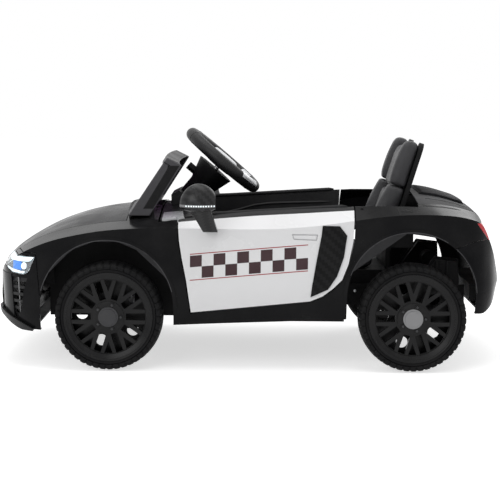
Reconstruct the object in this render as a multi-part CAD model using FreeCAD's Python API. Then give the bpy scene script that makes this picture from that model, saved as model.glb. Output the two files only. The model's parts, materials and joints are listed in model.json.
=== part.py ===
import FreeCAD, Part
import math
import os

from FreeCAD import Vector

# A child's electric ride-on police car. Millimetres, nose towards -X, left side towards -Y,
# +Z up, origin on the floor under the middle of the car.

# Overall body
LENGTH = 1096.0
HALF_WIDTH = 300.0
DECK_HEIGHT = 372.0
SHELL_WALL = 3.0
SHUT_LINE = 1.6
OVERRUN = 60.0
SEAT_GAP = 0.3
LINING_WALL = 6.0
LIP_PROUD = 5.0
BOTTOM_FLANGE = 10.0

# Wheels and arches
FRONT_AXLE_X = -0.2719 * LENGTH
WHEELBASE = 0.5867 * LENGTH
REAR_AXLE_X = FRONT_AXLE_X + WHEELBASE
TYRE_RADIUS = min(0.30914 * DECK_HEIGHT, 0.10493 * LENGTH)
TYRE_WIDTH = 76.0
TYRE_OUTER_Y = HALF_WIDTH
TYRE_WALL = 21.0
RIM_RADIUS = TYRE_RADIUS - TYRE_WALL
RIM_WALL = 5.0
SPOKE_COUNT = 10
SPOKE_THICK = 9.0
HUB_RADIUS = 0.351 * RIM_RADIUS
HUB_TUBE_RADIUS = 15.0
CAP_RADIUS = 0.2234 * RIM_RADIUS
CAP_THICK = 5.0
AXLE_RADIUS = 6.0
RUNNING_CLEARANCE = 0.05
FRONT_ARCH_RADIUS = 1.226 * TYRE_RADIUS
REAR_ARCH_RADIUS = 1.191 * TYRE_RADIUS
FRONT_ARCH_SHIFT = -4.0
FRONT_ARCH_RISE = 0.174 * TYRE_RADIUS
REAR_ARCH_SHIFT = -3.0
REAR_ARCH_RISE = 0.391 * TYRE_RADIUS
FRONT_ARCH_CENTRE = Vector(FRONT_AXLE_X + FRONT_ARCH_SHIFT, 0, TYRE_RADIUS + FRONT_ARCH_RISE)
REAR_ARCH_CENTRE = Vector(REAR_AXLE_X + REAR_ARCH_SHIFT, 0, TYRE_RADIUS + REAR_ARCH_RISE)
ARCH_LIP = 8.0
ARCH_LIP_PROUD = 2.5

# Steering gear
KINGPIN_Y = 0.68 * HALF_WIDTH
KINGPIN_RADIUS = 4.0
BEAM_BOSS_RADIUS = 10.0
BEAM_HEIGHT = 24.0
BEAM_WIDTH = 18.0
BEAM_FOOT = 60.0
YOKE_LUG = 9.0
YOKE_GAP = 1.5
UPRIGHT_THICK = 8.0
STEER_ARM = 42.0
TIE_ROD_LIFT = 31.0
TIE_ROD_Z = TYRE_RADIUS + TIE_ROD_LIFT
TIE_ROD_THICK = 5.0
TIE_ROD_WIDTH = 15.0
TIE_PIN_RADIUS = 3.5
OPEN_PIVOT_CLEARANCE = 0.4
CRANK_PIN_RADIUS = 4.0
SHAFT_RADIUS = 6.0
WHEEL_CENTRE_X = -0.0575 * LENGTH
WHEEL_CENTRE_Z = 1.1613 * DECK_HEIGHT
CRANK_RADIUS = 37.2
WHEEL_RING_RADIUS = 91.0
WHEEL_GRIP_RADIUS = 14.0

# Doors
DOOR_CARD = 10.0
DOOR_GAP = 2.6
DOOR_SWING_GAP = 12.0
DOOR_FRONT_ROOM = 6.0
HINGE_X = -0.1004 * LENGTH
HINGE_Y = 0.9333 * HALF_WIDTH
HINGE_PIN_RADIUS = 3.0
HINGE_PIN_TOP = 0.551 * DECK_HEIGHT
HINGE_PIN_LOW = 0.32 * DECK_HEIGHT

# Cabin, screen and seat
CABIN_HALF_WIDTH = 0.8467 * HALF_WIDTH
TRAY_WALL = 4.0
TRAY_HALF_WIDTH = 0.52 * HALF_WIDTH
TRAY_BOTTOM = 0.9043 * TYRE_RADIUS
TRAY_FRONT_BOTTOM = 0.8435 * TYRE_RADIUS
TRAY_REAR_BOTTOM = 1.0783 * TYRE_RADIUS
SCREEN_RAKE_RUN = 0.0766 * LENGTH
SCREEN_HEIGHT = 0.3333 * DECK_HEIGHT
SCREEN_DEPTH = 46.0
SCREEN_BAR = 15.0
GLASS_THICK = 3.0
SEAT_WIDTH = 0.8333 * HALF_WIDTH
SEAT_RECLINE = 17.0
CUSHION_THICK = 42.0
BACK_THICK = 26.0

# Nose, mesh and lip
GRILLE_REACH = 45.0
LAMP_INNER_Y = 0.55 * HALF_WIDTH
INTAKE_INNER_Y = 0.5667 * HALF_WIDTH
MESH_THICK = 4.0
MESH_BORDER = 5.0
MESH_PITCH = 11.0
MESH_BAR = 3.0
MESH_COLUMNS = 8
MESH_LOW_SHARE = 0.34
MESH_REACH_SHARE = 0.16
INTAKE_PITCH = 15.0
INTAKE_SLOTS = 5
INTAKE_FIRST_SHARE = 0.31
INTAKE_SLOT_SHARE = 0.6
MESH_STRETCH = 1.6
LIP_SHARES = [
    (-0.56, 0.29), (-0.56, 0.33), (-0.49, 0.323), (-0.44, 0.258), (-0.42, 0.23), (-0.42, 0.215),
    (-0.46, 0.222),
]
GRILLE_SHARES = [(0.36, 0.33), (0.46, 0.41), (0.36, 0.505)]

# Tail
TAIL_LAMP_INNER_Y = 0.3 * HALF_WIDTH
DIFFUSER_SHARE = 0.478
DIFFUSER_LOW_SHARE = 0.36
DIFFUSER_DEEP = 40.0
DIFFUSER_HALF = 0.5 * HALF_WIDTH
DIFFUSER_HIGH = 36.0
DIFFUSER_FINS = 5
DIFFUSER_FIN = 4.0
DECK_SLOT_ROWS = 2
DECK_SLOT_X = 0.3467 * LENGTH
DECK_SLOT_LONG = 0.0803 * LENGTH
DECK_SLOT_WIDE = 6.0
DECK_SLOT_Y = 0.3667 * HALF_WIDTH
DECK_SLOT_PITCH = 0.1833 * HALF_WIDTH

# Windshield
SCREEN_BASE_X = -0.239 * LENGTH
SCREEN_BASE_Z = 0.8656 * DECK_HEIGHT
SCREEN_BASE_HALF = 0.72 * HALF_WIDTH
SCREEN_TOP_HALF = 0.64 * HALF_WIDTH
SCREEN_BOW = 12.0
SCREEN_TOP_NARROW_SHARE = 0.3
GLASS_SETBACK = 5.0

# Dashboard and column cover
DASH_SHARES = [(-0.176, 0.72), (-0.176, 0.95), (-0.135, 0.92), (-0.108, 0.86), (-0.095, 0.78), (-0.105, 0.72)]
BINNACLE_SHARES = [(-0.16, 0.85), (-0.162, 0.96), (-0.145, 0.985), (-0.122, 0.93), (-0.118, 0.85)]
DASH_TRIM_SHARES = [(-0.172, 0.84), (-0.172, 0.95), (-0.15, 0.95), (-0.128, 0.86), (-0.128, 0.83)]
BINNACLE_HALF = 70.0
DASH_SIDE_GAP = 26.0
DASH_SHAFT_GAP = 6.0
COVER_FROM = 26.0
COVER_LONG = 50.0
COVER_END = 150.0
COVER_TOP_RADIUS = 45.0
COVER_LOW_RADIUS = 30.0
COVER_KNOB = 60.0
KNOB_RADIUS = 9.0
KNOB_PROUD = 8.0

# Tray and its fittings
TRAY_FRONT_SHARE = -0.4
TRAY_REAR_SHARE = 0.43
WHEEL_SWEEP = 1.3391 * TYRE_RADIUS
FLOOR_HALF_WIDTH = 0.8867 * HALF_WIDTH
FIREWALL_X = -0.208 * LENGTH
FIREWALL_TOP = 0.57 * DECK_HEIGHT
FRONT_WALL_TOP = 0.8065 * DECK_HEIGHT
REAR_WALL_TOP = 0.457 * DECK_HEIGHT
BULKHEAD_TOP = 0.8065 * DECK_HEIGHT
SILL_INNER_Y = 0.7867 * HALF_WIDTH
SILL_SHARES = [(-0.134, 0.25), (-0.134, 0.33), (0.115, 0.4), (0.14, 0.43), (0.182, 0.43), (0.182, 0.25)]
PEDAL_SHARES = [(-0.19, 0.0), (-0.142, 0.0), (-0.176, 0.12), (-0.184, 0.12)]
PEDAL_Y = 0.15 * HALF_WIDTH
PEDAL_WIDE = 0.16 * HALF_WIDTH
BATTERY_X = 0.0931 * LENGTH
BATTERY_LONG = 0.0858 * LENGTH
BATTERY_WIDE = 0.5033 * HALF_WIDTH
BATTERY_HIGH = 0.1747 * DECK_HEIGHT

# Seat
SEAT_FRONT_X = 0.0821 * LENGTH
SEAT_HINGE_X = 0.2737 * LENGTH
SEAT_HINGE_Z = 0.6452 * DECK_HEIGHT
SEAT_SHELL = 10.0
BACK_HIGH = 0.672 * DECK_HEIGHT
BOLSTER_WIDE = 42.0
CUSHION_ROUND = 10.0
CUSHION_GAP = 1.5
MIDDLE_HIGH_SHARE = 0.95
BOLSTER_SHARES = [
    (0.02, 0.91), (0.15, 0.965), (0.5, 0.995), (1.0, 0.985), (1.35, 0.93), (1.48, 0.8), (1.5, 0.66),
    (1.45, 0.57), (1.62, 0.48), (1.85, 0.36), (1.9, 0.18), (1.7, 0.05),
]
PANEL_SHARES = [
    (0.02, 0.87), (0.15, 0.93), (0.5, 0.95), (0.85, 0.93), (0.98, 0.86), (0.98, 0.6), (1.1, 0.48),
    (1.15, 0.3), (1.05, 0.05),
]
BACK_FOOT_SHARE = 0.03

# Gearboxes
GEARBOX_LONG = 1.13 * TYRE_RADIUS
GEARBOX_THICK = 54.0
GEARBOX_SHARES = [(-0.2, -0.13), (0.2, -0.18), (0.6, 0.05), (0.82, 0.4), (0.8, 0.86), (0.45, 0.9),
                  (0.1, 0.4), (-0.22, 0.15)]
MOTOR_PLACE_SHARES = (0.62, 0.62)
MOTOR_RADIUS = 18.0
MOTOR_LONG = 50.0
RIB_COUNT = 4
RIB_DEEP = 4.0

# Door fittings
HANDLE_GAP = 2.0
MIRROR_X = -0.0967 * LENGTH
MIRROR_Y = 1.1333 * HALF_WIDTH
MIRROR_Z = 0.9543 * DECK_HEIGHT
MIRROR_LONG = 40.0
MIRROR_WIDE = 27.0
MIRROR_HIGH = 46.0
MIRROR_KEEL = 13.0
MIRROR_FACE_SHARE = 0.85
ARM_TOP_SHARES = (-0.55, 0.55, -0.6, 0.5)
ARM_FOOT_SHARES = (0.2, 0.95, 1.0, 2.0)
ARM_FOOT_Z = 0.801 * DECK_HEIGHT

# Steering details
CRANK_PIN_LONG = 22.0
CRANK_PIN_BELOW = 14.0
CRANK_SLOT_FRONT = 12.0
CRANK_SLOT_REAR = 9.0
SHAFT_TOP = 2.0
HUB_DEEP = 26.0
HUB_LOW_RADIUS = 30.0
HUB_TOP_RADIUS = 36.0
PAD_THICK = 6.0
WHEEL_SPOKE_ANGLES = (90.0, -90.0, 0.0)
WHEEL_SPOKE_WIDE = 26.0
WHEEL_SPOKE_THICK = 9.0

# Wheel details
SHOULDER = 9.0
CROWN_DROP = 2.0
RIM_EDGE = 2.0
FACE_DEEP = 9.0
HUB_PROUD = 3.0
HUB_INNER_Y = 0.76 * HALF_WIDTH
HUB_END_GAP = 1.5
WINDOW_LOW = 0.394 * RIM_RADIUS
WINDOW_HIGH = 0.83 * RIM_RADIUS
WINDOW_WIDE = 14.0
FORK_LOW = 0.564 * RIM_RADIUS
FORK_WIDE = 18.0
LOBE_CIRCLE = 0.282 * RIM_RADIUS
LOBE_RADIUS = 4.5
LOBE_COUNT = 5
INNER_DISC_Y = 50.0
HOLE_CIRCLE = 0.638 * RIM_RADIUS
HOLE_RADIUS = 0.133 * RIM_RADIUS

# The body lines, as shares: x of the length, y of the half width, z of the deck height
TOP_LINE_SHARES = [
    (-0.5, 0.53), (-0.495, 0.575), (-0.487, 0.615), (-0.472, 0.655), (-0.452, 0.695), (-0.419, 0.75),
    (-0.377, 0.806), (-0.335, 0.85), (-0.293, 0.88), (-0.237, 0.9), (-0.173, 0.91), (0.0, 0.946),
    (0.182, 0.973), (0.333, 1.0), (0.375, 0.981), (0.417, 0.941), (0.443, 0.917), (0.453, 0.895),
    (0.46, 0.823), (0.466, 0.772), (0.475, 0.72), (0.481, 0.67), (0.487, 0.61), (0.494, 0.548),
    (0.5, 0.511),
]
EDGE_WIDTH_SHARES = [
    (-0.5, 0.23), (-0.487, 0.46), (-0.472, 0.57), (-0.443, 0.65), (-0.392, 0.693), (-0.274, 0.707),
    (-0.21, 0.76), (-0.146, 0.833), (0.0, 0.857), (0.2, 0.857), (0.274, 0.833), (0.328, 0.793),
    (0.375, 0.75), (0.417, 0.727), (0.443, 0.693), (0.46, 0.65), (0.475, 0.6), (0.487, 0.5), (0.5, 0.33),
]
EDGE_HEIGHT_SHARES = [
    (-0.5, 0.52), (-0.487, 0.597), (-0.472, 0.637), (-0.443, 0.69), (-0.412, 0.742), (-0.373, 0.782),
    (-0.334, 0.807), (-0.275, 0.831), (-0.21, 0.844), (-0.146, 0.863), (-0.057, 0.89), (0.018, 0.911),
    (0.2, 0.935), (0.328, 0.954), (0.375, 0.946), (0.417, 0.922), (0.443, 0.895), (0.453, 0.874),
    (0.46, 0.809), (0.466, 0.761), (0.475, 0.712), (0.481, 0.661), (0.487, 0.605), (0.494, 0.543),
    (0.5, 0.508),
]
CREASE_WIDTH_SHARES = [
    (-0.5, 0.32), (-0.495, 0.5), (-0.487, 0.633), (-0.472, 0.75), (-0.452, 0.833), (-0.419, 0.907),
    (-0.377, 0.953), (-0.274, 0.973), (-0.137, 0.957), (0.0, 0.95), (0.182, 0.957), (0.274, 0.973),
    (0.375, 0.973), (0.417, 0.947), (0.443, 0.9), (0.46, 0.833), (0.475, 0.75), (0.487, 0.617), (0.5, 0.42),
]
CREASE_HEIGHT_SHARES = [
    (-0.5, 0.505), (-0.487, 0.567), (-0.472, 0.602), (-0.452, 0.645), (-0.419, 0.696), (-0.377, 0.745),
    (-0.334, 0.774), (-0.287, 0.801), (-0.23, 0.815), (-0.137, 0.815), (0.0, 0.809), (0.114, 0.823),
    (0.219, 0.874), (0.301, 0.903), (0.375, 0.9), (0.417, 0.882), (0.443, 0.855), (0.453, 0.833),
    (0.46, 0.785), (0.466, 0.742), (0.475, 0.696), (0.481, 0.648), (0.487, 0.594), (0.494, 0.538),
    (0.5, 0.505),
]
BELLY_WIDTH_SHARES = [
    (-0.5, 0.37), (-0.495, 0.55), (-0.487, 0.683), (-0.472, 0.793), (-0.452, 0.873), (-0.419, 0.947),
    (-0.377, 0.983), (-0.274, 1.0), (-0.137, 0.987), (0.0, 0.977), (0.182, 0.983), (0.274, 1.0),
    (0.375, 1.0), (0.417, 0.973), (0.443, 0.93), (0.46, 0.867), (0.475, 0.787), (0.487, 0.65), (0.5, 0.43),
]
BOTTOM_LINE_SHARES = [
    (-0.5, 0.317), (-0.483, 0.301), (-0.465, 0.269), (-0.448, 0.237), (-0.43, 0.223), (-0.4, 0.223),
    (-0.146, 0.261), (0.0, 0.277), (0.185, 0.298), (0.274, 0.317), (0.438, 0.333), (0.455, 0.325),
    (0.468, 0.35), (0.482, 0.38), (0.487, 0.417), (0.494, 0.444), (0.5, 0.462),
]
STATION_SHARES = [
    -0.4955, -0.49, -0.484, -0.474, -0.46, -0.44, -0.415, -0.38, -0.335, -0.28, -0.21, -0.14, -0.06, 0.02,
    0.1,
    0.18, 0.25, 0.31, 0.355, 0.39, 0.415, 0.435, 0.449, 0.459, 0.469, 0.479, 0.489, 0.5,
]
SILL_TUCK = 14.0
FLANK_SWELL = 3.0
FLANK_SHARES = (0.22, 0.5, 0.8)
CROWN_SHARE = 0.78
NOSE_FROM_SHARE = 0.39
NOSE_BLEND_SHARE = 0.07
TAIL_FROM_SHARE = 0.4
TAIL_BLEND_SHARE = 0.045

# Outlines in the side view, as shares: x of the length, z of the deck height
DOOR_SHARES = [
    (-0.139, 0.98), (-0.139, 0.86), (-0.136, 0.74), (-0.131, 0.65), (-0.122, 0.52), (-0.113, 0.336),
    (0.116, 0.405), (0.14, 0.435), (0.16, 0.48), (0.177, 0.53), (0.189, 0.62), (0.198, 0.75), (0.201, 0.98),
]
BLADE_SHARES = [
    (0.139, 0.835), (0.172, 0.833), (0.186, 0.78), (0.18, 0.66), (0.167, 0.55), (0.15, 0.475),
    (0.117, 0.43), (0.12, 0.5), (0.128, 0.64), (0.137, 0.78),
]
HANDLE_SHARES = [(0.08, 0.785), (0.13, 0.785), (0.128, 0.75), (0.084, 0.755)]
BUMPER_SEAM_SHARES = [
    (-0.56, 0.8), (-0.4625, 0.8), (-0.4625, 0.665), (-0.414, 0.66), (-0.404, 0.4), (-0.404, 0.1),
    (-0.56, 0.1),
]
TAIL_SEAM_SHARES = [(0.385, 0.7), (0.438, 0.75), (0.56, 0.77), (0.56, 0.1), (0.385, 0.1)]
HEADLAMP_SHARES = [
    (-0.56, 0.66), (-0.46, 0.65), (-0.414, 0.645), (-0.421, 0.6), (-0.428, 0.545), (-0.44, 0.532),
    (-0.462, 0.538), (-0.48, 0.575), (-0.56, 0.59),
]
INTAKE_SHARES = [
    (-0.56, 0.5), (-0.466, 0.52), (-0.43, 0.52), (-0.437, 0.45), (-0.442, 0.34), (-0.45, 0.29), (-0.56, 0.3),
]
TAIL_LAMP_SHARES = [(0.437, 0.85), (0.56, 0.87), (0.56, 0.75), (0.463, 0.75)]

# Plan outlines, as shares: x of the length, y of the half width
HOOD_FRONT_SHARE = -0.462
HOOD_REAR_SHARE = -0.243
CABIN_FRONT_SHARE = -0.178
CABIN_REAR_SHARE = 0.325
DECK_REAR_SHARE = 0.446
BOTTOM_FRONT_SHARE = -0.44
BOTTOM_REAR_SHARE = 0.45


def body_line(shares, reach):
    """A smooth line through the points that never swings past them (monotone cubic pieces)."""
    xs = [x * LENGTH for x, _ in shares]
    vs = [v * reach for _, v in shares]
    last = len(xs) - 1
    step = [xs[i + 1] - xs[i] for i in range(last)]
    slope = [(vs[i + 1] - vs[i]) / step[i] for i in range(last)]
    tangent = [slope[0]] + [0.0] * (last - 1) + [slope[-1]]
    for i in range(1, last):
        if slope[i - 1] * slope[i] > 0:
            before = 2 * step[i] + step[i - 1]
            after = step[i] + 2 * step[i - 1]
            tangent[i] = (before + after) / (before / slope[i - 1] + after / slope[i])

    def value(x):
        i = 0
        while i < last - 1 and x > xs[i + 1]:
            i += 1
        t = (x - xs[i]) / step[i]
        rise = t * t * (3 - 2 * t)
        bend = t * (1 - t) ** 2 * step[i] * tangent[i] + t * t * (t - 1) * step[i] * tangent[i + 1]
        return (1 - rise) * vs[i] + rise * vs[i + 1] + bend

    return value


top_line = body_line(TOP_LINE_SHARES, DECK_HEIGHT)
edge_width = body_line(EDGE_WIDTH_SHARES, HALF_WIDTH)
edge_height = body_line(EDGE_HEIGHT_SHARES, DECK_HEIGHT)
crease_width = body_line(CREASE_WIDTH_SHARES, HALF_WIDTH)
crease_height = body_line(CREASE_HEIGHT_SHARES, DECK_HEIGHT)
belly_width = body_line(BELLY_WIDTH_SHARES, HALF_WIDTH)
bottom_line = body_line(BOTTOM_LINE_SHARES, DECK_HEIGHT)


def mirrored(points):
    """The same points on the other side of the car, in running order."""
    return [Vector(p.x, -p.y, p.z) for p in reversed(points)]


def smooth(points):
    """One smooth edge through the points."""
    spline = Part.BSplineCurve()
    spline.interpolate(points)
    return spline.toShape()


def straight(start, end):
    """One straight edge."""
    return Part.LineSegment(start, end).toShape()


def body_section(x, inset, shift):
    """Poles across the body at x, moved inwards by inset: one list for each face that runs along it."""
    low = bottom_line(x) + inset
    crease = Vector(x + shift, crease_width(x) - 0.8 * inset, crease_height(x) - 0.6 * inset)
    edge = Vector(x + shift, edge_width(x) - 0.3 * inset, edge_height(x) - inset)
    belly = belly_width(x) - inset
    height = crease.z - low
    foot = Vector(x + shift, belly - SILL_TUCK, low)
    flank = [
        foot,
        Vector(foot.x, belly, low + FLANK_SHARES[0] * height),
        Vector(foot.x, belly + FLANK_SWELL, low + FLANK_SHARES[1] * height),
        Vector(foot.x, crease.y + 0.3 * FLANK_SWELL, low + FLANK_SHARES[2] * height),
        crease,
    ]
    middle = top_line(x) - inset
    side = 0.55 * edge.y
    crown = edge.z + (middle - edge.z) * CROWN_SHARE
    peak = middle + 0.1 * (middle - crown)
    roof = [edge, Vector(edge.x, side, crown), Vector(edge.x, 0, peak), Vector(edge.x, -side, crown),
            Vector(edge.x, -edge.y, edge.z)]
    return [flank, [crease, edge], roof, mirrored([crease, edge]), mirrored(flank), mirrored([foot]) + [foot]]


def knots_for(count, degree):
    """Evenly spaced knots and their multiplicities for a clamped line with count poles."""
    inner = count - degree - 1
    return [float(i) for i in range(inner + 2)], [degree + 1] + [1] * inner + [degree + 1]


def strip(rows):
    """One face along the body, from its poles in rows across it."""
    across = min(3, len(rows[0]) - 1)
    u_knots, u_mults = knots_for(len(rows), 3)
    v_knots, v_mults = knots_for(len(rows[0]), across)
    surface = Part.BSplineSurface()
    surface.buildFromPolesMultsKnots(rows, u_mults, v_mults, u_knots, v_knots, False, False, 3, across)
    return surface.toShape()


def end_cap(section):
    """The flat face that closes the body at its first or last section."""
    edges = []
    for poles in section:
        degree = min(3, len(poles) - 1)
        knots, mults = knots_for(len(poles), degree)
        line = Part.BSplineCurve()
        line.buildFromPolesMultsKnots(poles, mults, knots, False, degree)
        edges.append(line.toShape())
    return Part.Face(Part.Wire(edges))


def solid_of(faces):
    """One solid from faces that close round it."""
    shell = Part.makeShell(faces)
    shell.sewShape()
    solid = Part.makeSolid(shell)
    if solid.Volume < 0:
        solid.reverse()
    return solid


def body_form(inset=0.0):
    """The whole body as one solid, its skin moved inwards by inset."""
    sections = []
    for share in STATION_SHARES:
        nose = min(max((-share - NOSE_FROM_SHARE) / NOSE_BLEND_SHARE, 0.0), 1.0)
        tail = min(max((share - TAIL_FROM_SHARE) / TAIL_BLEND_SHARE, 0.0), 1.0)
        sections.append(body_section(share * LENGTH, inset, inset * (nose - tail)))
    faces = [strip([section[i] for section in sections]) for i in range(len(sections[0]))]
    faces += [end_cap(sections[0]), end_cap(sections[-1])]
    return solid_of(faces)


def side_points(shares):
    """Points of a side view outline, from shares to places on the centre plane."""
    return [Vector(x * LENGTH, 0, z * DECK_HEIGHT) for x, z in shares]


def side_prism(points, y_from, y_to, grow=0.0):
    """A side view outline carried along Y, its edges moved outwards by grow."""
    loop = [Vector(p.x, y_from, p.z) for p in points]
    wire = Part.makePolygon(loop + [loop[0]])
    if grow:
        wire = wire.makeOffset2D(grow, 2, False, False, False)
    return Part.Face(wire).extrude(Vector(0, y_to - y_from, 0))


def both_sides(points, y_inner, y_outer, grow=0.0):
    """The same side view outline carried along Y on each side of the car."""
    left = side_prism(points, -y_outer, -y_inner, grow)
    return [left, mirror(left)]


def block(x_from, x_to, y_from, y_to, z_from, z_to):
    """A box between two places on each axis."""
    return Part.makeBox(x_to - x_from, y_to - y_from, z_to - z_from, Vector(x_from, y_from, z_from))


def rod(start, end, radius):
    """A round bar from start to end."""
    axis = end - start
    return Part.makeCylinder(radius, axis.Length, start, axis)


def across_rod(x, z, y_from, y_to, radius):
    """A round bar along Y."""
    return rod(Vector(x, y_from, z), Vector(x, y_to, z), radius)


def fused(shapes):
    """Shapes joined into one, with the seams between them removed."""
    return shapes[0].multiFuse(shapes[1:]).removeSplitter()


def mirror(shape):
    """The same shape on the other side of the car."""
    return shape.mirror(Vector(0, 0, 0), Vector(0, 1, 0))


def save(name, shapes):
    """Write one node as a STEP file."""
    solids = []
    for shape in shapes:
        solids += shape.Solids
    whole = solids[0] if len(solids) == 1 else Part.makeCompound(solids)
    whole.exportStep("parts/" + name + ".step")
    print(name, len(solids), "solid(s)", round(sum(s.Volume for s in solids) / 1000.0, 1), "cm3")


def largest(shape):
    """The largest solid of a cut shape, without loose slivers."""
    return max(shape.Solids, key=lambda s: s.Volume)


def pieces(shape, least_share=0.02):
    """The solids of a cut shape that are more than slivers."""
    most = max(s.Volume for s in shape.Solids)
    return [s for s in shape.Solids if s.Volume > least_share * most]


os.makedirs("parts", exist_ok=True)

# The body's forms, the same skin moved in or out
outer_form = body_form()
inner_form = body_form(SHELL_WALL)
clear_form = body_form(SHELL_WALL + SEAT_GAP)
lining_form = body_form(LINING_WALL)
proud_form = body_form(-ARCH_LIP_PROUD)
lip_form = body_form(-LIP_PROUD)
WIDE = HALF_WIDTH + OVERRUN
TALL = 2 * DECK_HEIGHT
door_points = side_points(DOOR_SHARES)


def arch_cut(centre, radius):
    """The round wheel opening, carried straight down below its centre."""
    round_part = across_rod(centre.x, centre.z, -WIDE, WIDE, radius)
    return round_part.fuse(block(centre.x - radius, centre.x + radius, -WIDE, WIDE, -OVERRUN, centre.z))


def arch_lip(centre, radius):
    """The raised edge that runs round a wheel opening."""
    ring = across_rod(centre.x, centre.z, -WIDE, WIDE, radius + ARCH_LIP)
    ring = ring.cut(across_rod(centre.x, centre.z, -WIDE, WIDE, radius))
    ring = ring.cut(block(-LENGTH, LENGTH, -WIDE, WIDE, -TALL, centre.z))
    ring = ring.cut(block(-LENGTH, LENGTH, -CABIN_HALF_WIDTH, CABIN_HALF_WIDTH, -TALL, TALL))
    return ring.common(proud_form).cut(inner_form)


front_arch = arch_cut(FRONT_ARCH_CENTRE, FRONT_ARCH_RADIUS)
rear_arch = arch_cut(REAR_ARCH_CENTRE, REAR_ARCH_RADIUS)


def plan_prism(xs, width_at, shrink, z_from, z_to):
    """A plan outline symmetric about the centre line, carried along Z."""
    right = [Vector(x, width_at(x) - shrink, z_from) for x in xs]
    left = mirrored(right)
    edges = [smooth(right), straight(right[-1], left[0]), smooth(left), straight(left[-1], right[0])]
    return Part.Face(Part.Wire(edges)).extrude(Vector(0, 0, z_to - z_from))


def span(x_from, x_to, count):
    """Evenly spaced places between two x positions."""
    return [x_from + (x_to - x_from) * i / (count - 1) for i in range(count)]


def foot_width(x):
    """Half the width of the body at its lowest edge."""
    return belly_width(x) - SILL_TUCK


def body_panels():
    """The outer shell split into body, hood, rear deck and bumpers where the real panels meet."""
    shell = outer_form.cut(inner_form)
    under = plan_prism(span(BOTTOM_FRONT_SHARE * LENGTH, BOTTOM_REAR_SHARE * LENGTH, 12), foot_width,
                       BOTTOM_FLANGE, -OVERRUN, 0.5 * DECK_HEIGHT)
    shell = shell.cut(under).cut(front_arch).cut(rear_arch)
    shell = shell.fuse([arch_lip(FRONT_ARCH_CENTRE, FRONT_ARCH_RADIUS),
                        arch_lip(REAR_ARCH_CENTRE, REAR_ARCH_RADIUS)])
    cabin = block(CABIN_FRONT_SHARE * LENGTH, CABIN_REAR_SHARE * LENGTH, -CABIN_HALF_WIDTH, CABIN_HALF_WIDTH,
                  0, TALL)
    shell = shell.cut([cabin] + both_sides(door_points, CABIN_HALF_WIDTH - OVERRUN, WIDE, DOOR_GAP))
    half = 0.5 * SHUT_LINE
    above = 0.55 * DECK_HEIGHT
    hood_xs = span(HOOD_FRONT_SHARE * LENGTH, HOOD_REAR_SHARE * LENGTH, 9)
    deck_xs = span(CABIN_REAR_SHARE * LENGTH + SHUT_LINE, DECK_REAR_SHARE * LENGTH, 7)
    zones = []
    for xs, before in ((hood_xs, SHUT_LINE), (deck_xs, OVERRUN)):
        zone = plan_prism(xs, edge_width, half, above, TALL)
        hole = plan_prism([xs[0] - before] + xs[1:-1] + [xs[-1] + SHUT_LINE], edge_width, -half, above, TALL)
        zones.append((shell.common(zone), hole))
    rest = shell.cut([hole for _, hole in zones])
    ends = []
    for shares in (BUMPER_SEAM_SHARES, TAIL_SEAM_SHARES):
        points = side_points(shares)
        ends.append(rest.common(side_prism(points, -WIDE, WIDE)))
    rest = rest.cut([side_prism(side_points(shares), -WIDE, WIDE, SHUT_LINE)
                     for shares in (BUMPER_SEAM_SHARES, TAIL_SEAM_SHARES)])
    return rest, zones[0][0], zones[1][0], ends[0], ends[1]


main_shell, hood_shell, deck_shell, nose_shell, tail_shell = body_panels()


def front_face_prism(points, x_from, x_to):
    """A front view outline, given as (y, z) places, carried along X."""
    loop = [Vector(x_from, y, z) for y, z in points]
    return Part.Face(Part.makePolygon(loop + [loop[0]])).extrude(Vector(x_to - x_from, 0, 0))


def grille_outline(grow):
    """The six-sided opening in the middle of the nose, seen from the front."""
    right = [(y * HALF_WIDTH, z * DECK_HEIGHT) for y, z in GRILLE_SHARES]
    middle = 0.5 * (right[0][1] + right[-1][1])
    right = [(y + grow, z + (grow if z > middle else -grow)) for y, z in right]
    return right + [(-y, z) for y, z in reversed(right)]


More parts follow.
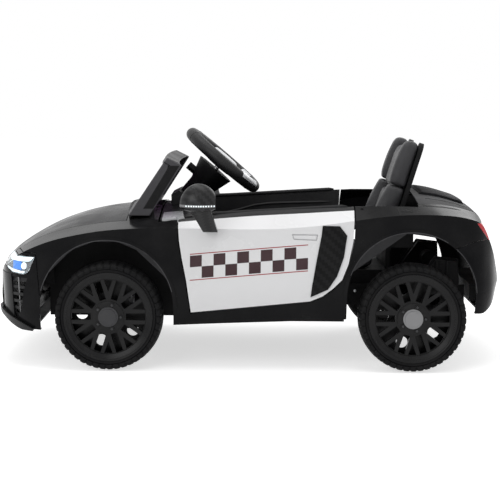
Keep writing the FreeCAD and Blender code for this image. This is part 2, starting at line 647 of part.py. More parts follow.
def make_nose():
    """Front bumper with its openings, the mesh behind them, the lamps and the lip below."""
    nose_x = -0.5 * LENGTH
    lamp_points = side_points(HEADLAMP_SHARES)
    intake_points = side_points(INTAKE_SHARES)
    middle_hole = front_face_prism(grille_outline(0), nose_x - OVERRUN, nose_x + GRILLE_REACH)
    lamp_holes = both_sides(lamp_points, LAMP_INNER_Y, WIDE)
    intake_holes = both_sides(intake_points, INTAKE_INNER_Y, WIDE)
    bumper = nose_shell.cut([middle_hole] + lamp_holes + intake_holes)
    save("front_bumper", pieces(bumper))
    behind = front_face_prism(grille_outline(MESH_BORDER), nose_x, nose_x + GRILLE_REACH)
    behind_form = clear_form.cut(body_form(SHELL_WALL + SEAT_GAP + MESH_THICK))
    mesh = behind.common(behind_form)
    rows = int(MESH_REACH_SHARE * DECK_HEIGHT / MESH_PITCH)
    cells = []
    wide = MESH_STRETCH * MESH_PITCH
    for row in range(rows):
        z = MESH_LOW_SHARE * DECK_HEIGHT + row * MESH_PITCH
        for column in range(-MESH_COLUMNS, MESH_COLUMNS + 1):
            y = wide * (column + 0.5 * (row % 2))
            cells.append(block(nose_x - OVERRUN, nose_x + OVERRUN, y, y + wide - MESH_BAR,
                               z, z + MESH_PITCH - MESH_BAR))
    inside = front_face_prism(grille_outline(0), nose_x - OVERRUN, nose_x + GRILLE_REACH)
    mesh = mesh.cut(Part.makeCompound(cells).common(inside))
    side_meshes = []
    first = INTAKE_FIRST_SHARE * DECK_HEIGHT
    for zone, hole in zip(both_sides(intake_points, INTAKE_INNER_Y, WIDE, MESH_BORDER), intake_holes):
        slats = [block(-LENGTH, 0, -WIDE, WIDE, first + i * INTAKE_PITCH,
                       first + (i + INTAKE_SLOT_SHARE) * INTAKE_PITCH) for i in range(INTAKE_SLOTS)]
        side_meshes += pieces(behind_form.common(zone).cut(Part.makeCompound(slats).common(hole)))
    save("front_grille", pieces(mesh) + side_meshes)
    lamps = []
    for zone in both_sides(lamp_points, LAMP_INNER_Y, WIDE):
        lens = outer_form.cut(lining_form).common(zone).cut(pieces(bumper)).cut([hood_shell] + side_meshes)
        lamps.append(largest(lens))
    save("headlamps", lamps)
    band = lip_form.cut(outer_form).common(side_prism(side_points(LIP_SHARES), -WIDE, WIDE))
    save("front_lip", [largest(band.cut(front_arch))])


def make_tail():
    """Rear bumper, its lamps and the finned diffuser below."""
    lamp_points = side_points(TAIL_LAMP_SHARES)
    zones = both_sides(lamp_points, TAIL_LAMP_INNER_Y, WIDE)
    main = main_shell.cut(zones)
    bumper = tail_shell.cut(zones)
    lamps = []
    for zone in zones:
        lamps.append(largest(outer_form.cut(lining_form).common(zone).cut(deck_shell)))
    save("tail_lamps", lamps)
    x_tail = DIFFUSER_SHARE * LENGTH
    low = DIFFUSER_LOW_SHARE * DECK_HEIGHT
    plate = block(x_tail - DIFFUSER_DEEP, x_tail + OVERRUN, -DIFFUSER_HALF, DIFFUSER_HALF, low,
                  low + DIFFUSER_HIGH)
    bumper = bumper.cut(plate)
    core = plate.common(clear_form)
    notches = []
    pitch = 2 * DIFFUSER_HALF / DIFFUSER_FINS
    for i in range(DIFFUSER_FINS):
        y = -DIFFUSER_HALF + (i + 0.5) * pitch
        reach = 0.5 * pitch - DIFFUSER_FIN
        notches.append(block(x_tail - 0.5 * DIFFUSER_DEEP, x_tail + OVERRUN, y - reach, y + reach,
                             low + DIFFUSER_FIN, low + DIFFUSER_HIGH - DIFFUSER_FIN))
    save("rear_diffuser", [largest(core.cut(notches))])
    save("rear_bumper", pieces(bumper))
    save("body_shell", pieces(main))


def make_hood_and_deck():
    """The hood panel, and the rear deck with its cooling slots."""
    save("hood", [largest(hood_shell)])
    slots = []
    for side in (-1, 1):
        for row in range(DECK_SLOT_ROWS):
            y = side * (DECK_SLOT_Y + row * DECK_SLOT_PITCH)
            slots.append(block(DECK_SLOT_X, DECK_SLOT_X + DECK_SLOT_LONG, y - 0.5 * DECK_SLOT_WIDE,
                               y + 0.5 * DECK_SLOT_WIDE, 0.6 * DECK_HEIGHT, TALL))
    save("rear_deck", [largest(deck_shell.cut(slots))])


def screen_frame_form(depth_from, depth_to):
    """The raked band of the screen, bowed forwards in the middle, between two depths behind its face."""
    low_z = SCREEN_BASE_Z
    high_z = SCREEN_BASE_Z + SCREEN_HEIGHT
    sections = []
    for share in (-1.0, -0.5, 0.0, 0.5, 1.0):
        y = share * SCREEN_BASE_HALF
        bow = -SCREEN_BOW * (1 - share * share)
        base = SCREEN_BASE_X + bow
        top = base + SCREEN_RAKE_RUN
        narrow = 1.0 - SCREEN_TOP_NARROW_SHARE
        corners = [
            Vector(base + depth_from, y, low_z),
            Vector(top + depth_from * narrow, y, high_z),
            Vector(top + depth_to * narrow, y, high_z - 0.35 * (depth_to - depth_from)),
            Vector(base + depth_to, y, low_z),
        ]
        sections.append([[corners[i], corners[(i + 1) % 4]] for i in range(4)])
    faces = [strip([section[i] for section in sections]) for i in range(4)]
    faces += [end_cap(sections[0]), end_cap(sections[-1])]
    return solid_of(faces)


def screen_outline(margin):
    """The screen seen from the front: wide at the cowl and narrower at the top, less a margin."""
    low = SCREEN_BASE_Z
    high = SCREEN_BASE_Z + SCREEN_HEIGHT
    side = 1.2 * margin
    right = [(SCREEN_BASE_HALF - side, low + margin), (SCREEN_TOP_HALF - side, high - margin)]
    return right + [(-y, z) for y, z in reversed(right)]


def make_screen():
    """The windshield frame standing on the cowl, and its tinted pane."""
    reach = (-LENGTH, 0)
    frame = screen_frame_form(0, SCREEN_DEPTH).common(front_face_prism(screen_outline(0), *reach))
    opening = front_face_prism(screen_outline(SCREEN_BAR), *reach)
    pane = screen_frame_form(GLASS_SETBACK, GLASS_SETBACK + GLASS_THICK).common(opening)
    frame = frame.cut(opening).cut(outer_form)
    save("windshield_frame", [largest(frame)])
    save("windshield_glass", [largest(pane.cut(outer_form))])


WHEEL_CENTRE = Vector(WHEEL_CENTRE_X, 0, WHEEL_CENTRE_Z)
TIE_X = FRONT_AXLE_X + STEER_ARM
CRANK_PLACE = Vector(TIE_X, 0, TIE_ROD_Z)
CRANK_REACH = WHEEL_CENTRE - CRANK_PLACE
COLUMN_RAKE = math.atan2(CRANK_REACH.x, CRANK_REACH.z) + math.asin(CRANK_RADIUS / CRANK_REACH.Length)
COLUMN_AXIS = Vector(math.sin(COLUMN_RAKE), 0, math.cos(COLUMN_RAKE))
CRANK_DIRECTION = Vector(COLUMN_AXIS.z, 0, -COLUMN_AXIS.x)
CRANK_END = CRANK_PLACE + COLUMN_AXIS * CRANK_PIN_LONG
CRANK_START = CRANK_END - CRANK_DIRECTION * CRANK_RADIUS


def on_column(distance):
    """The place on the steering column's axis this far below the wheel's centre."""
    return WHEEL_CENTRE - COLUMN_AXIS * distance


def column_cover_form():
    """The cone that covers the column between the dashboard and the wheel."""
    cone = Part.makeCone(COVER_TOP_RADIUS, COVER_LOW_RADIUS, COVER_LONG, on_column(COVER_FROM), -COLUMN_AXIS)
    return cone.fuse(rod(on_column(COVER_FROM + COVER_LONG), on_column(COVER_END), COVER_LOW_RADIUS))


def make_dashboard():
    """The dashboard with its binnacle, the silver trim at its ends and the column cover."""
    points = side_points(DASH_SHARES)
    half = CABIN_HALF_WIDTH - DASH_SIDE_GAP
    dash = side_prism(points, -half, half).common(clear_form)
    hump = side_prism(side_points(BINNACLE_SHARES), -BINNACLE_HALF, BINNACLE_HALF)
    dash = dash.fuse(hump)
    trims = [zone.common(clear_form) for zone in both_sides(side_points(DASH_TRIM_SHARES), 0.7 * half, half)]
    dash = dash.cut(trims)
    cover = column_cover_form()
    dash = dash.cut([cover, rod(on_column(0), CRANK_START, SHAFT_RADIUS + DASH_SHAFT_GAP)])
    dash = largest(dash)
    save("dashboard", [dash])
    save("dash_trim", trims)
    bore = rod(on_column(0), CRANK_START, SHAFT_RADIUS + RUNNING_CLEARANCE)
    knob = rod(on_column(COVER_KNOB) - CRANK_DIRECTION * COVER_LOW_RADIUS * 0.8,
               on_column(COVER_KNOB) - CRANK_DIRECTION * (COVER_TOP_RADIUS + KNOB_PROUD), KNOB_RADIUS)
    save("column_cover", [largest(cover.fuse(knob).cut(bore))])
    return dash


def hinge_rods(radius, low, high):
    """An upright rod on each door's hinge line."""
    return [rod(Vector(HINGE_X, side * HINGE_Y, low), Vector(HINGE_X, side * HINGE_Y, high), radius)
            for side in (-1, 1)]


def make_tray(dash):
    """The floor tray with its walls, bulkheads and sills, the front arch panels and the pedal."""
    low = TRAY_BOTTOM
    high = low + TRAY_WALL
    front = TRAY_FRONT_SHARE * LENGTH
    rear = TRAY_REAR_SHARE * LENGTH
    wide_front = FRONT_AXLE_X + WHEEL_SWEEP
    wide_rear = REAR_ARCH_CENTRE.x - REAR_ARCH_RADIUS - TRAY_WALL
    half = TRAY_HALF_WIDTH
    front_low = TRAY_FRONT_BOTTOM
    rear_low = TRAY_REAR_BOTTOM
    shapes = [block(front, wide_front + TRAY_WALL, -half, half, front_low, front_low + TRAY_WALL)]
    shapes.append(block(wide_front, wide_front + TRAY_WALL, -half, half, front_low, high))
    shapes.append(block(wide_front, wide_rear, -FLOOR_HALF_WIDTH, FLOOR_HALF_WIDTH, low, high))
    step_half = half + TRAY_WALL
    shapes.append(block(wide_rear - TRAY_WALL, wide_rear, -step_half, step_half, low, rear_low + TRAY_WALL))
    shapes.append(block(wide_rear - TRAY_WALL, rear, -half, half, rear_low, rear_low + TRAY_WALL))
    shapes.append(block(FIREWALL_X, FIREWALL_X + TRAY_WALL, -half, half, front_low, FIREWALL_TOP))
    panels = []
    for side in (-1, 1):
        near = side * half
        inner = near - side * TRAY_WALL
        y_low, y_high = sorted((near, inner))
        wall = block(FIREWALL_X, wide_front + TRAY_WALL, y_low, y_high, front_low, BULKHEAD_TOP)
        shapes.append(wall.common(clear_form))
        panel = block(front, FIREWALL_X, y_low, y_high, front_low + TRAY_WALL, FRONT_WALL_TOP)
        panels.append(panel.common(clear_form))
        shapes.append(block(wide_rear - TRAY_WALL, rear, y_low, y_high, rear_low, REAR_WALL_TOP))
    for y_from, y_to in ((-HALF_WIDTH, -half), (half, HALF_WIDTH)):
        bulkhead = block(wide_front, wide_front + TRAY_WALL, y_from, y_to, low, BULKHEAD_TOP)
        shapes.append(bulkhead.common(clear_form))
        liner = across_rod(REAR_ARCH_CENTRE.x, REAR_ARCH_CENTRE.z, y_from, y_to, REAR_ARCH_RADIUS + TRAY_WALL)
        liner = liner.cut(across_rod(REAR_ARCH_CENTRE.x, REAR_ARCH_CENTRE.z, -WIDE, WIDE, REAR_ARCH_RADIUS))
        keep = block(wide_rear - OVERRUN, REAR_ARCH_CENTRE.x, -WIDE, WIDE, REAR_ARCH_CENTRE.z, TALL)
        riser = block(wide_rear, wide_rear + TRAY_WALL, y_from, y_to, low, REAR_ARCH_CENTRE.z)
        shapes.append(liner.common(keep).common(clear_form))
        shapes.append(riser.common(clear_form))
    sill_points = side_points(SILL_SHARES)
    for sill in both_sides(sill_points, SILL_INNER_Y, WIDE):
        shapes.append(sill.common(clear_form))
    tray = fused(shapes)
    beam_window = block(FRONT_AXLE_X - BEAM_WIDTH, TIE_X + TIE_ROD_WIDTH, -WIDE, WIDE, front_low + TRAY_WALL,
                        TIE_ROD_Z + 4 * TIE_ROD_THICK)
    tray = tray.cut([beam_window, dash])
    tray = tray.cut(both_sides(door_points, CABIN_HALF_WIDTH - DOOR_SWING_GAP, WIDE, DOOR_FRONT_ROOM))
    tray = tray.fuse(hinge_rods(HINGE_PIN_RADIUS, HINGE_PIN_LOW, HINGE_PIN_TOP))
    tray = largest(tray)
    save("chassis_tray", [tray])
    save("front_arch_panels", [panel.cut(beam_window) for panel in panels])
    floor = front_low + TRAY_WALL
    pedal = [Vector(x * LENGTH, 0, floor + z * DECK_HEIGHT) for x, z in PEDAL_SHARES]
    save("pedal", [side_prism(pedal, PEDAL_Y, PEDAL_Y + PEDAL_WIDE)])
    return tray


def reclined(forward, up):
    """A place on the centre line of the backrest: forward of its rear face and up along it."""
    lean = math.radians(SEAT_RECLINE)
    x = SEAT_HINGE_X + up * math.sin(lean) - forward * math.cos(lean)
    z = SEAT_HINGE_Z + up * math.cos(lean) + forward * math.sin(lean)
    return Vector(x, 0, z)


def across_seat(shares, y_from, y_to):
    """Padding carried across the seat: flat behind and below, its top and front one smooth line."""
    points = [reclined(forward * BACK_THICK, up * BACK_HIGH) for forward, up in shares]
    foot = reclined(shares[0][0] * BACK_THICK, BACK_FOOT_SHARE * BACK_HIGH)
    edges = [smooth(points), straight(points[-1], foot), straight(foot, points[0])]
    shape = Part.Face(Part.Wire(edges)).extrude(Vector(0, y_to - y_from, 0))
    shape.translate(Vector(0, y_from, 0))
    return shape


def back_outline(high, side_y, y_from, y_to):
    """The backrest seen square on, rounded over the top of one bolster, as a bar through the seat."""
    lean = math.radians(SEAT_RECLINE)
    through = Vector(math.cos(lean), 0, -math.sin(lean)) * (2 * OVERRUN)
    along = Vector(math.sin(lean), 0, math.cos(lean))
    start = reclined(OVERRUN, -OVERRUN)
    rise = along * (OVERRUN + high)
    near = start + Vector(0, y_from, 0)
    far = start + Vector(0, y_to, 0)
    bar = Part.Face(Part.makePolygon([near, far, far + rise, near + rise, near])).extrude(through)
    if side_y:
        centre = start + rise + Vector(0, side_y, 0)
        bar = bar.fuse(rod(centre, centre + through, 0.5 * (y_to - y_from)))
    return bar


def make_seat(tray):
    """The seat tub with its back, the cushion and the backrest with its two rounded bolsters."""
    half = 0.5 * SEAT_WIDTH
    inner = half - BOLSTER_WIDE
    middle = half - 0.5 * BOLSTER_WIDE
    floor = TRAY_BOTTOM + TRAY_WALL
    base_top = SEAT_HINGE_Z - CUSHION_THICK
    under = base_top - SEAT_SHELL
    front = SEAT_FRONT_X
    hinge = SEAT_HINGE_X
    outlines = [back_outline(MIDDLE_HIGH_SHARE * BACK_HIGH, 0, -inner, inner)]
    for side in (-1, 1):
        y_from, y_to = sorted((side * half, side * inner))
        outlines.append(back_outline(BACK_HIGH - 0.5 * BOLSTER_WIDE, side * middle, y_from, y_to))
    square_on = fused(outlines)
    base = [Vector(front, 0, floor), Vector(front, 0, base_top), Vector(hinge + SEAT_SHELL, 0, base_top),
            Vector(hinge + SEAT_SHELL, 0, floor)]
    hollow = [Vector(front + SEAT_SHELL, 0, floor - SEAT_SHELL), Vector(front + SEAT_SHELL, 0, under),
              Vector(hinge, 0, under), Vector(hinge, 0, floor - SEAT_SHELL)]
    back = [Vector(hinge, 0, base_top), reclined(0, 0), reclined(0, BACK_HIGH),
            reclined(-SEAT_SHELL, BACK_HIGH), reclined(-SEAT_SHELL, 0),
            Vector(hinge + SEAT_SHELL, 0, base_top)]
    plate = side_prism(back, -half, half).common(square_on)
    tub = fused([side_prism(base, -half, half), plate])
    tub = tub.cut([side_prism(hollow, -half + SEAT_SHELL, half - SEAT_SHELL), tray])
    save("seat_tub", [largest(tub)])
    rear = reclined(BACK_THICK, 0).x - CUSHION_GAP
    low = base_top + SEAT_GAP
    cushion = block(front, rear, -half, half, low, SEAT_HINGE_Z)
    save("seat_cushion", [cushion.makeFillet(CUSHION_ROUND, cushion.Edges)])
    rest = [across_seat(PANEL_SHARES, -middle, middle).common(square_on)]
    for side in (-1, 1):
        y_from, y_to = sorted((side * half, side * inner))
        rest.append(across_seat(BOLSTER_SHARES, y_from, y_to).common(square_on))
    clear = [reclined(SEAT_GAP, 0), reclined(SEAT_GAP, 2 * BACK_HIGH), reclined(TALL, 2 * BACK_HIGH),
             reclined(TALL, 0)]
    save("seat_backrest", [largest(fused(rest).common(side_prism(clear, -half, half)))])


def make_running_gear():
    """The rear axle with its two gearboxes, the front beam and the battery."""
    end = TYRE_OUTER_Y - 3 * CAP_THICK
    save("rear_axle", [across_rod(REAR_AXLE_X, TYRE_RADIUS, -end, end, AXLE_RADIUS)])
    points = [Vector(REAR_AXLE_X + x * GEARBOX_LONG, 0, TYRE_RADIUS + z * GEARBOX_LONG)
              for x, z in GEARBOX_SHARES]
    boxes = []
    inner_y = TRAY_HALF_WIDTH
    outer_y = TRAY_HALF_WIDTH + GEARBOX_THICK
    bore = across_rod(REAR_AXLE_X, TYRE_RADIUS, -WIDE, WIDE, AXLE_RADIUS)
    for box, flange in zip(both_sides(points, inner_y, outer_y - 2 * RIB_DEEP),
                           both_sides(points, inner_y + 0.4 * GEARBOX_THICK,
                                      inner_y + 0.4 * GEARBOX_THICK + RIB_DEEP, RIB_DEEP)):
        side = -1 if box.CenterOfMass.y < 0 else 1
        parts = [box, flange]
        for i in range(RIB_COUNT):
            x = REAR_AXLE_X + (0.1 + 0.17 * i) * GEARBOX_LONG
            rib = block(x, x + RIB_DEEP, *sorted((side * inner_y, side * outer_y)), 0, TALL)
            parts.append(rib.common(side_prism(points, -WIDE, WIDE)))
        nose = across_rod(REAR_AXLE_X, TYRE_RADIUS, side * inner_y, side * (HUB_INNER_Y - HUB_END_GAP),
                          HUB_TUBE_RADIUS)
        parts.append(nose)
        motor_x = REAR_AXLE_X + MOTOR_PLACE_SHARES[0] * GEARBOX_LONG
        motor_z = TYRE_RADIUS + MOTOR_PLACE_SHARES[1] * GEARBOX_LONG
        motor_end = side * (inner_y - MOTOR_LONG)
        parts.append(across_rod(motor_x, motor_z, side * inner_y, motor_end, MOTOR_RADIUS))
        boxes.append(largest(fused(parts).cut(bore)))
    save("gearboxes", boxes)
    half = 0.5 * BEAM_HEIGHT
    z = TYRE_RADIUS
    beam = [block(FRONT_AXLE_X - 0.5 * BEAM_WIDTH, FRONT_AXLE_X + 0.5 * BEAM_WIDTH, -KINGPIN_Y, KINGPIN_Y,
                  z - half, z + half)]
    beam.append(block(FRONT_AXLE_X - BEAM_WIDTH, FRONT_AXLE_X + BEAM_WIDTH, -BEAM_FOOT, BEAM_FOOT,
                      TRAY_FRONT_BOTTOM + TRAY_WALL, z))
    pins = []
    for side in (-1, 1):
        low = Vector(FRONT_AXLE_X, side * KINGPIN_Y, z - half - YOKE_GAP)
        high = Vector(FRONT_AXLE_X, side * KINGPIN_Y, z + half + YOKE_GAP)
        boss_low = low + Vector(0, 0, YOKE_GAP)
        boss_high = high - Vector(0, 0, YOKE_GAP)
        beam.append(rod(boss_low, boss_high, BEAM_BOSS_RADIUS))
        pins.append(rod(low, high, KINGPIN_RADIUS + RUNNING_CLEARANCE))
    save("front_beam", [largest(fused(beam).cut(pins))])
    save("battery", [block(BATTERY_X, BATTERY_X + BATTERY_LONG, -0.5 * BATTERY_WIDE, 0.5 * BATTERY_WIDE,
                           TRAY_BOTTOM + TRAY_WALL, TRAY_BOTTOM + TRAY_WALL + BATTERY_HIGH)])


def make_doors():
    """Each door: its outer panel, inner card, side blade, handle and mirror."""
    card_y = CABIN_HALF_WIDTH + DOOR_CARD
    doors = both_sides(door_points, CABIN_HALF_WIDTH, WIDE)
    blades = both_sides(side_points(BLADE_SHARES), CABIN_HALF_WIDTH, WIDE)
    wells = both_sides(side_points(HANDLE_SHARES), CABIN_HALF_WIDTH, WIDE)
    handles = both_sides(side_points(HANDLE_SHARES), CABIN_HALF_WIDTH, WIDE, -HANDLE_GAP)
    for index, side in enumerate(("left", "right")):
        door = outer_form.common(doors[index])
        card_zone = block(-LENGTH, LENGTH, -card_y, card_y, 0, TALL)
        skin = door.cut(card_zone)
        card = door.common(card_zone)
        blade = proud_form.cut(inner_form).common(blades[index])
        well = proud_form.cut(lining_form).common(wells[index])
        handle = outer_form.cut(lining_form).common(handles[index])
        sockets = hinge_rods(HINGE_PIN_RADIUS + RUNNING_CLEARANCE, 0, HINGE_PIN_TOP + SHUT_LINE)
        skin = skin.cut([blade, well] + sockets)
        save("door_" + side + "_panel", [largest(skin)])
        save("door_" + side + "_card", [largest(card)])
        save("door_" + side + "_blade", [largest(blade.common(doors[index]).cut(card))])
        save("door_" + side + "_handle", [largest(handle)])
        make_mirror(side, outer_form)


def make_mirror(side, body):
    """A mirror: a dome with a flat underside on a broad arm that stands on the door."""
    centre = Vector(MIRROR_X, -MIRROR_Y, MIRROR_Z)
    ball = Part.makeSphere(MIRROR_LONG)
    squash = FreeCAD.Matrix()
    squash.scale(1.0, MIRROR_WIDE / MIRROR_LONG, MIRROR_HIGH / MIRROR_LONG)
    dome = ball.transformGeometry(squash).cut(block(-WIDE, WIDE, -WIDE, WIDE, -WIDE, 0))
    squash = FreeCAD.Matrix()
    squash.scale(1.0, MIRROR_WIDE / MIRROR_LONG, MIRROR_KEEL / MIRROR_LONG)
    keel = ball.transformGeometry(squash).cut(block(-WIDE, WIDE, -WIDE, WIDE, 0, WIDE))
    head = dome.fuse(keel).cut(block(MIRROR_FACE_SHARE * MIRROR_LONG, WIDE, -WIDE, WIDE, -WIDE, WIDE))
    head.translate(centre)
    loops = []
    for shares, z in ((ARM_TOP_SHARES, MIRROR_Z), (ARM_FOOT_SHARES, ARM_FOOT_Z)):
        x_from, x_to, y_from, y_to = shares
        a = MIRROR_X + x_from * MIRROR_LONG
        b = MIRROR_X + x_to * MIRROR_LONG
        c = -MIRROR_Y + y_from * MIRROR_WIDE
        d = -MIRROR_Y + y_to * MIRROR_WIDE
        loop = [Vector(a, c, z), Vector(b, c, z), Vector(b, d, z), Vector(a, d, z)]
        loops.append(Part.makePolygon(loop + [loop[0]]))
    arm = Part.makeLoft(loops, True, True)
    mirror_shape = head.fuse(arm).cut(body)
    whole = largest(mirror_shape)
    save("door_" + side + "_mirror", [whole if side == "left" else mirror(whole)])


def make_steering():
    """The steering shaft with its crank, the wheel on top, the knuckles and the rod between them."""
    z = TYRE_RADIUS
    shaft = fused([rod(on_column(SHAFT_TOP), CRANK_START, SHAFT_RADIUS),
                   Part.makeSphere(SHAFT_RADIUS, CRANK_START),
                   rod(CRANK_START, CRANK_END, CRANK_PIN_RADIUS + YOKE_GAP),
                   Part.makeSphere(CRANK_PIN_RADIUS + YOKE_GAP, CRANK_END),
                   rod(CRANK_END, CRANK_PLACE - COLUMN_AXIS * CRANK_PIN_BELOW, CRANK_PIN_RADIUS)])
    save("steering_shaft", [shaft])
    ring = Part.makeTorus(WHEEL_RING_RADIUS, WHEEL_GRIP_RADIUS, WHEEL_CENTRE, COLUMN_AXIS)
    hub = Part.makeCone(HUB_LOW_RADIUS, HUB_TOP_RADIUS, HUB_DEEP, on_column(HUB_DEEP - WHEEL_GRIP_RADIUS / 2),
                        COLUMN_AXIS)
    spokes = []
    for angle in WHEEL_SPOKE_ANGLES:
        spoke = Part.makeBox(WHEEL_RING_RADIUS, WHEEL_SPOKE_WIDE, WHEEL_SPOKE_THICK,
                             Vector(0, -0.5 * WHEEL_SPOKE_WIDE, -0.5 * WHEEL_SPOKE_THICK))
        spoke.rotate(Vector(0, 0, 0), Vector(0, 0, 1), angle)
        spoke.rotate(Vector(0, 0, 0), Vector(0, 1, 0), math.degrees(COLUMN_RAKE))
        spoke.translate(on_column(0.5 * WHEEL_SPOKE_THICK))
        spokes.append(spoke)
    wheel = fused([ring, hub] + spokes)
    wheel = wheel.cut(rod(on_column(SHAFT_TOP), on_column(SHAFT_TOP + HUB_DEEP),
                          SHAFT_RADIUS + RUNNING_CLEARANCE))
    save("steering_wheel", [largest(wheel)])
    pad_base = on_column(-WHEEL_GRIP_RADIUS / 2)
    pad = Part.makeCone(HUB_TOP_RADIUS, 0.8 * HUB_TOP_RADIUS, PAD_THICK, pad_base, COLUMN_AXIS)
    save("steering_wheel_pad", [pad])
    for side, name in ((-1, "left"), (1, "right")):
        make_knuckle(side, name, z)
    rod_z = TIE_ROD_Z - 0.5 * TIE_ROD_THICK
    eye = 0.5 * TIE_ROD_WIDTH
    bar = [block(TIE_X - 0.6 * eye, TIE_X + 0.6 * eye, -KINGPIN_Y, KINGPIN_Y, rod_z, rod_z + TIE_ROD_THICK)]
    for side in (-1, 1):
        bar.append(rod(Vector(TIE_X, side * KINGPIN_Y, rod_z),
                       Vector(TIE_X, side * KINGPIN_Y, rod_z + TIE_ROD_THICK), eye))
    slot_half = CRANK_PIN_RADIUS + OPEN_PIVOT_CLEARANCE
    bar.append(block(TIE_X - CRANK_SLOT_FRONT - eye, TIE_X + CRANK_SLOT_REAR + eye, -slot_half - eye,
                     slot_half + eye, rod_z, rod_z + TIE_ROD_THICK))
    left = Vector(TIE_X, -KINGPIN_Y, 0)
    right = Vector(TIE_X, KINGPIN_Y, 0)
    up = Vector(0, 0, TALL)
    holes = [rod(left, left + up, TIE_PIN_RADIUS + RUNNING_CLEARANCE),
             rod(right, right + up, TIE_PIN_RADIUS + OPEN_PIVOT_CLEARANCE),
             block(TIE_X - CRANK_SLOT_FRONT, TIE_X + CRANK_SLOT_REAR, -slot_half, slot_half, 0, TALL)]
    save("tie_rod", [largest(fused(bar).cut(holes))])


def make_knuckle(side, name, z):
    """A front knuckle: two lugs on a kingpin, the stub axle outside and the steering arm behind."""
    half = 0.5 * BEAM_HEIGHT + YOKE_GAP
    pin = Vector(FRONT_AXLE_X, side * KINGPIN_Y, 0)
    lift = Vector(0, 0, 1)
    front = FRONT_AXLE_X - BEAM_BOSS_RADIUS
    back = FRONT_AXLE_X + BEAM_BOSS_RADIUS
    shapes = [rod(pin + lift * (z - half), pin + lift * (z + half), KINGPIN_RADIUS)]
    upright_in = KINGPIN_Y + BEAM_BOSS_RADIUS + YOKE_GAP
    upright_out = upright_in + UPRIGHT_THICK
    y_from, y_to = sorted((side * upright_in, side * upright_out))
    for low in (z - half - YOKE_LUG, z + half):
        shapes.append(rod(pin + lift * low, pin + lift * (low + YOKE_LUG), BEAM_BOSS_RADIUS))
        lug_y = sorted((side * KINGPIN_Y, side * upright_out))
        shapes.append(block(front, back, lug_y[0], lug_y[1], low, low + YOKE_LUG))
    shapes.append(block(front, back, y_from, y_to, z - half - YOKE_LUG, z + half + YOKE_LUG))
    stub_end = TYRE_OUTER_Y - 3 * CAP_THICK
    shapes.append(across_rod(FRONT_AXLE_X, z, side * upright_in, side * stub_end, AXLE_RADIUS))
    shapes.append(across_rod(FRONT_AXLE_X, z, side * upright_in, side * (HUB_INNER_Y - HUB_END_GAP),
                             HUB_TUBE_RADIUS - YOKE_GAP))
    arm_low = z + half
    arm_top = TIE_ROD_Z - 0.5 * TIE_ROD_THICK - YOKE_GAP
    shapes.append(block(FRONT_AXLE_X, TIE_X, side * KINGPIN_Y - 0.5 * TIE_ROD_WIDTH,
                        side * KINGPIN_Y + 0.5 * TIE_ROD_WIDTH, arm_low, arm_top))
    tip = Vector(TIE_X, side * KINGPIN_Y, 0)
    shapes.append(rod(tip + lift * arm_low, tip + lift * arm_top, 0.5 * TIE_ROD_WIDTH))
    shapes.append(rod(tip + lift * arm_top, tip + lift * (TIE_ROD_Z + 1.5 * TIE_ROD_THICK), TIE_PIN_RADIUS))
    save("knuckle_" + name, [largest(fused(shapes))])


def ring_profile(edges):
    """A closed profile in the plane of radius and width, turned about the wheel's axis."""
    return Part.Face(Part.Wire(edges)).revolve(Vector(0, 0, 0), Vector(0, 1, 0), 360)


def disc(radius, y_from, y_to, hole=0.0):
    """A round plate about the wheel's axis, with a round hole where one is given."""
    plate = rod(Vector(0, y_from, 0), Vector(0, y_to, 0), radius)
    return plate.cut(rod(Vector(0, y_from, 0), Vector(0, y_to, 0), hole)) if hole else plate


def tyre_form():
    """The tyre: flat inner seat, rounded shoulders and a slightly crowned tread, outer face at y = 0."""
    r = TYRE_RADIUS
    low = RIM_RADIUS
    w = TYRE_WIDTH
    s = SHOULDER
    a = Vector(low, 0.4 * s, 0)
    b = Vector(r - s, 0, 0)
    c = Vector(r - CROWN_DROP, s, 0)
    d = Vector(r, 0.5 * w, 0)
    e = Vector(r - CROWN_DROP, w - s, 0)
    f = Vector(r - s, w, 0)
    g = Vector(low, w - 0.4 * s, 0)
    bulge = 0.3
    shoulder_out = Vector(r - bulge * s - CROWN_DROP, bulge * s, 0)
    shoulder_in = Vector(r - bulge * s - CROWN_DROP, w - bulge * s, 0)
    edges = [straight(a, b), Part.Arc(b, shoulder_out, c).toShape(), Part.Arc(c, d, e).toShape(),
             Part.Arc(e, shoulder_in, f).toShape(), straight(f, g), straight(g, a)]
    return ring_profile(edges)


def polar(radius, degrees, y):
    """A place on the wheel from its radius and angle."""
    return Vector(radius * math.cos(math.radians(degrees)), y, radius * math.sin(math.radians(degrees)))


def spoke_windows():
    """The openings between the spokes and the small ones in each spoke's fork."""
    windows = []
    pitch = 360.0 / SPOKE_COUNT
    for i in range(SPOKE_COUNT):
        long_one = [Vector(WINDOW_LOW, 0, -0.5 * WINDOW_WIDE), Vector(WINDOW_LOW, 0, 0.5 * WINDOW_WIDE),
                    Vector(WINDOW_HIGH, 0, 0.55 * WINDOW_WIDE), Vector(WINDOW_HIGH, 0, -0.55 * WINDOW_WIDE)]
        fork = [Vector(FORK_LOW, 0, 0), Vector(WINDOW_HIGH, 0, 0.5 * FORK_WIDE),
                Vector(WINDOW_HIGH, 0, -0.5 * FORK_WIDE)]
        for loop, turn in ((long_one, 0.0), (fork, 0.5)):
            face = Part.Face(Part.makePolygon(loop + [loop[0]]))
            face.translate(Vector(0, -OVERRUN, 0))
            window = face.extrude(Vector(0, 2 * OVERRUN, 0))
            window.rotate(Vector(0, 0, 0), Vector(0, 1, 0), (i + turn) * pitch)
            windows.append(window)
    return windows


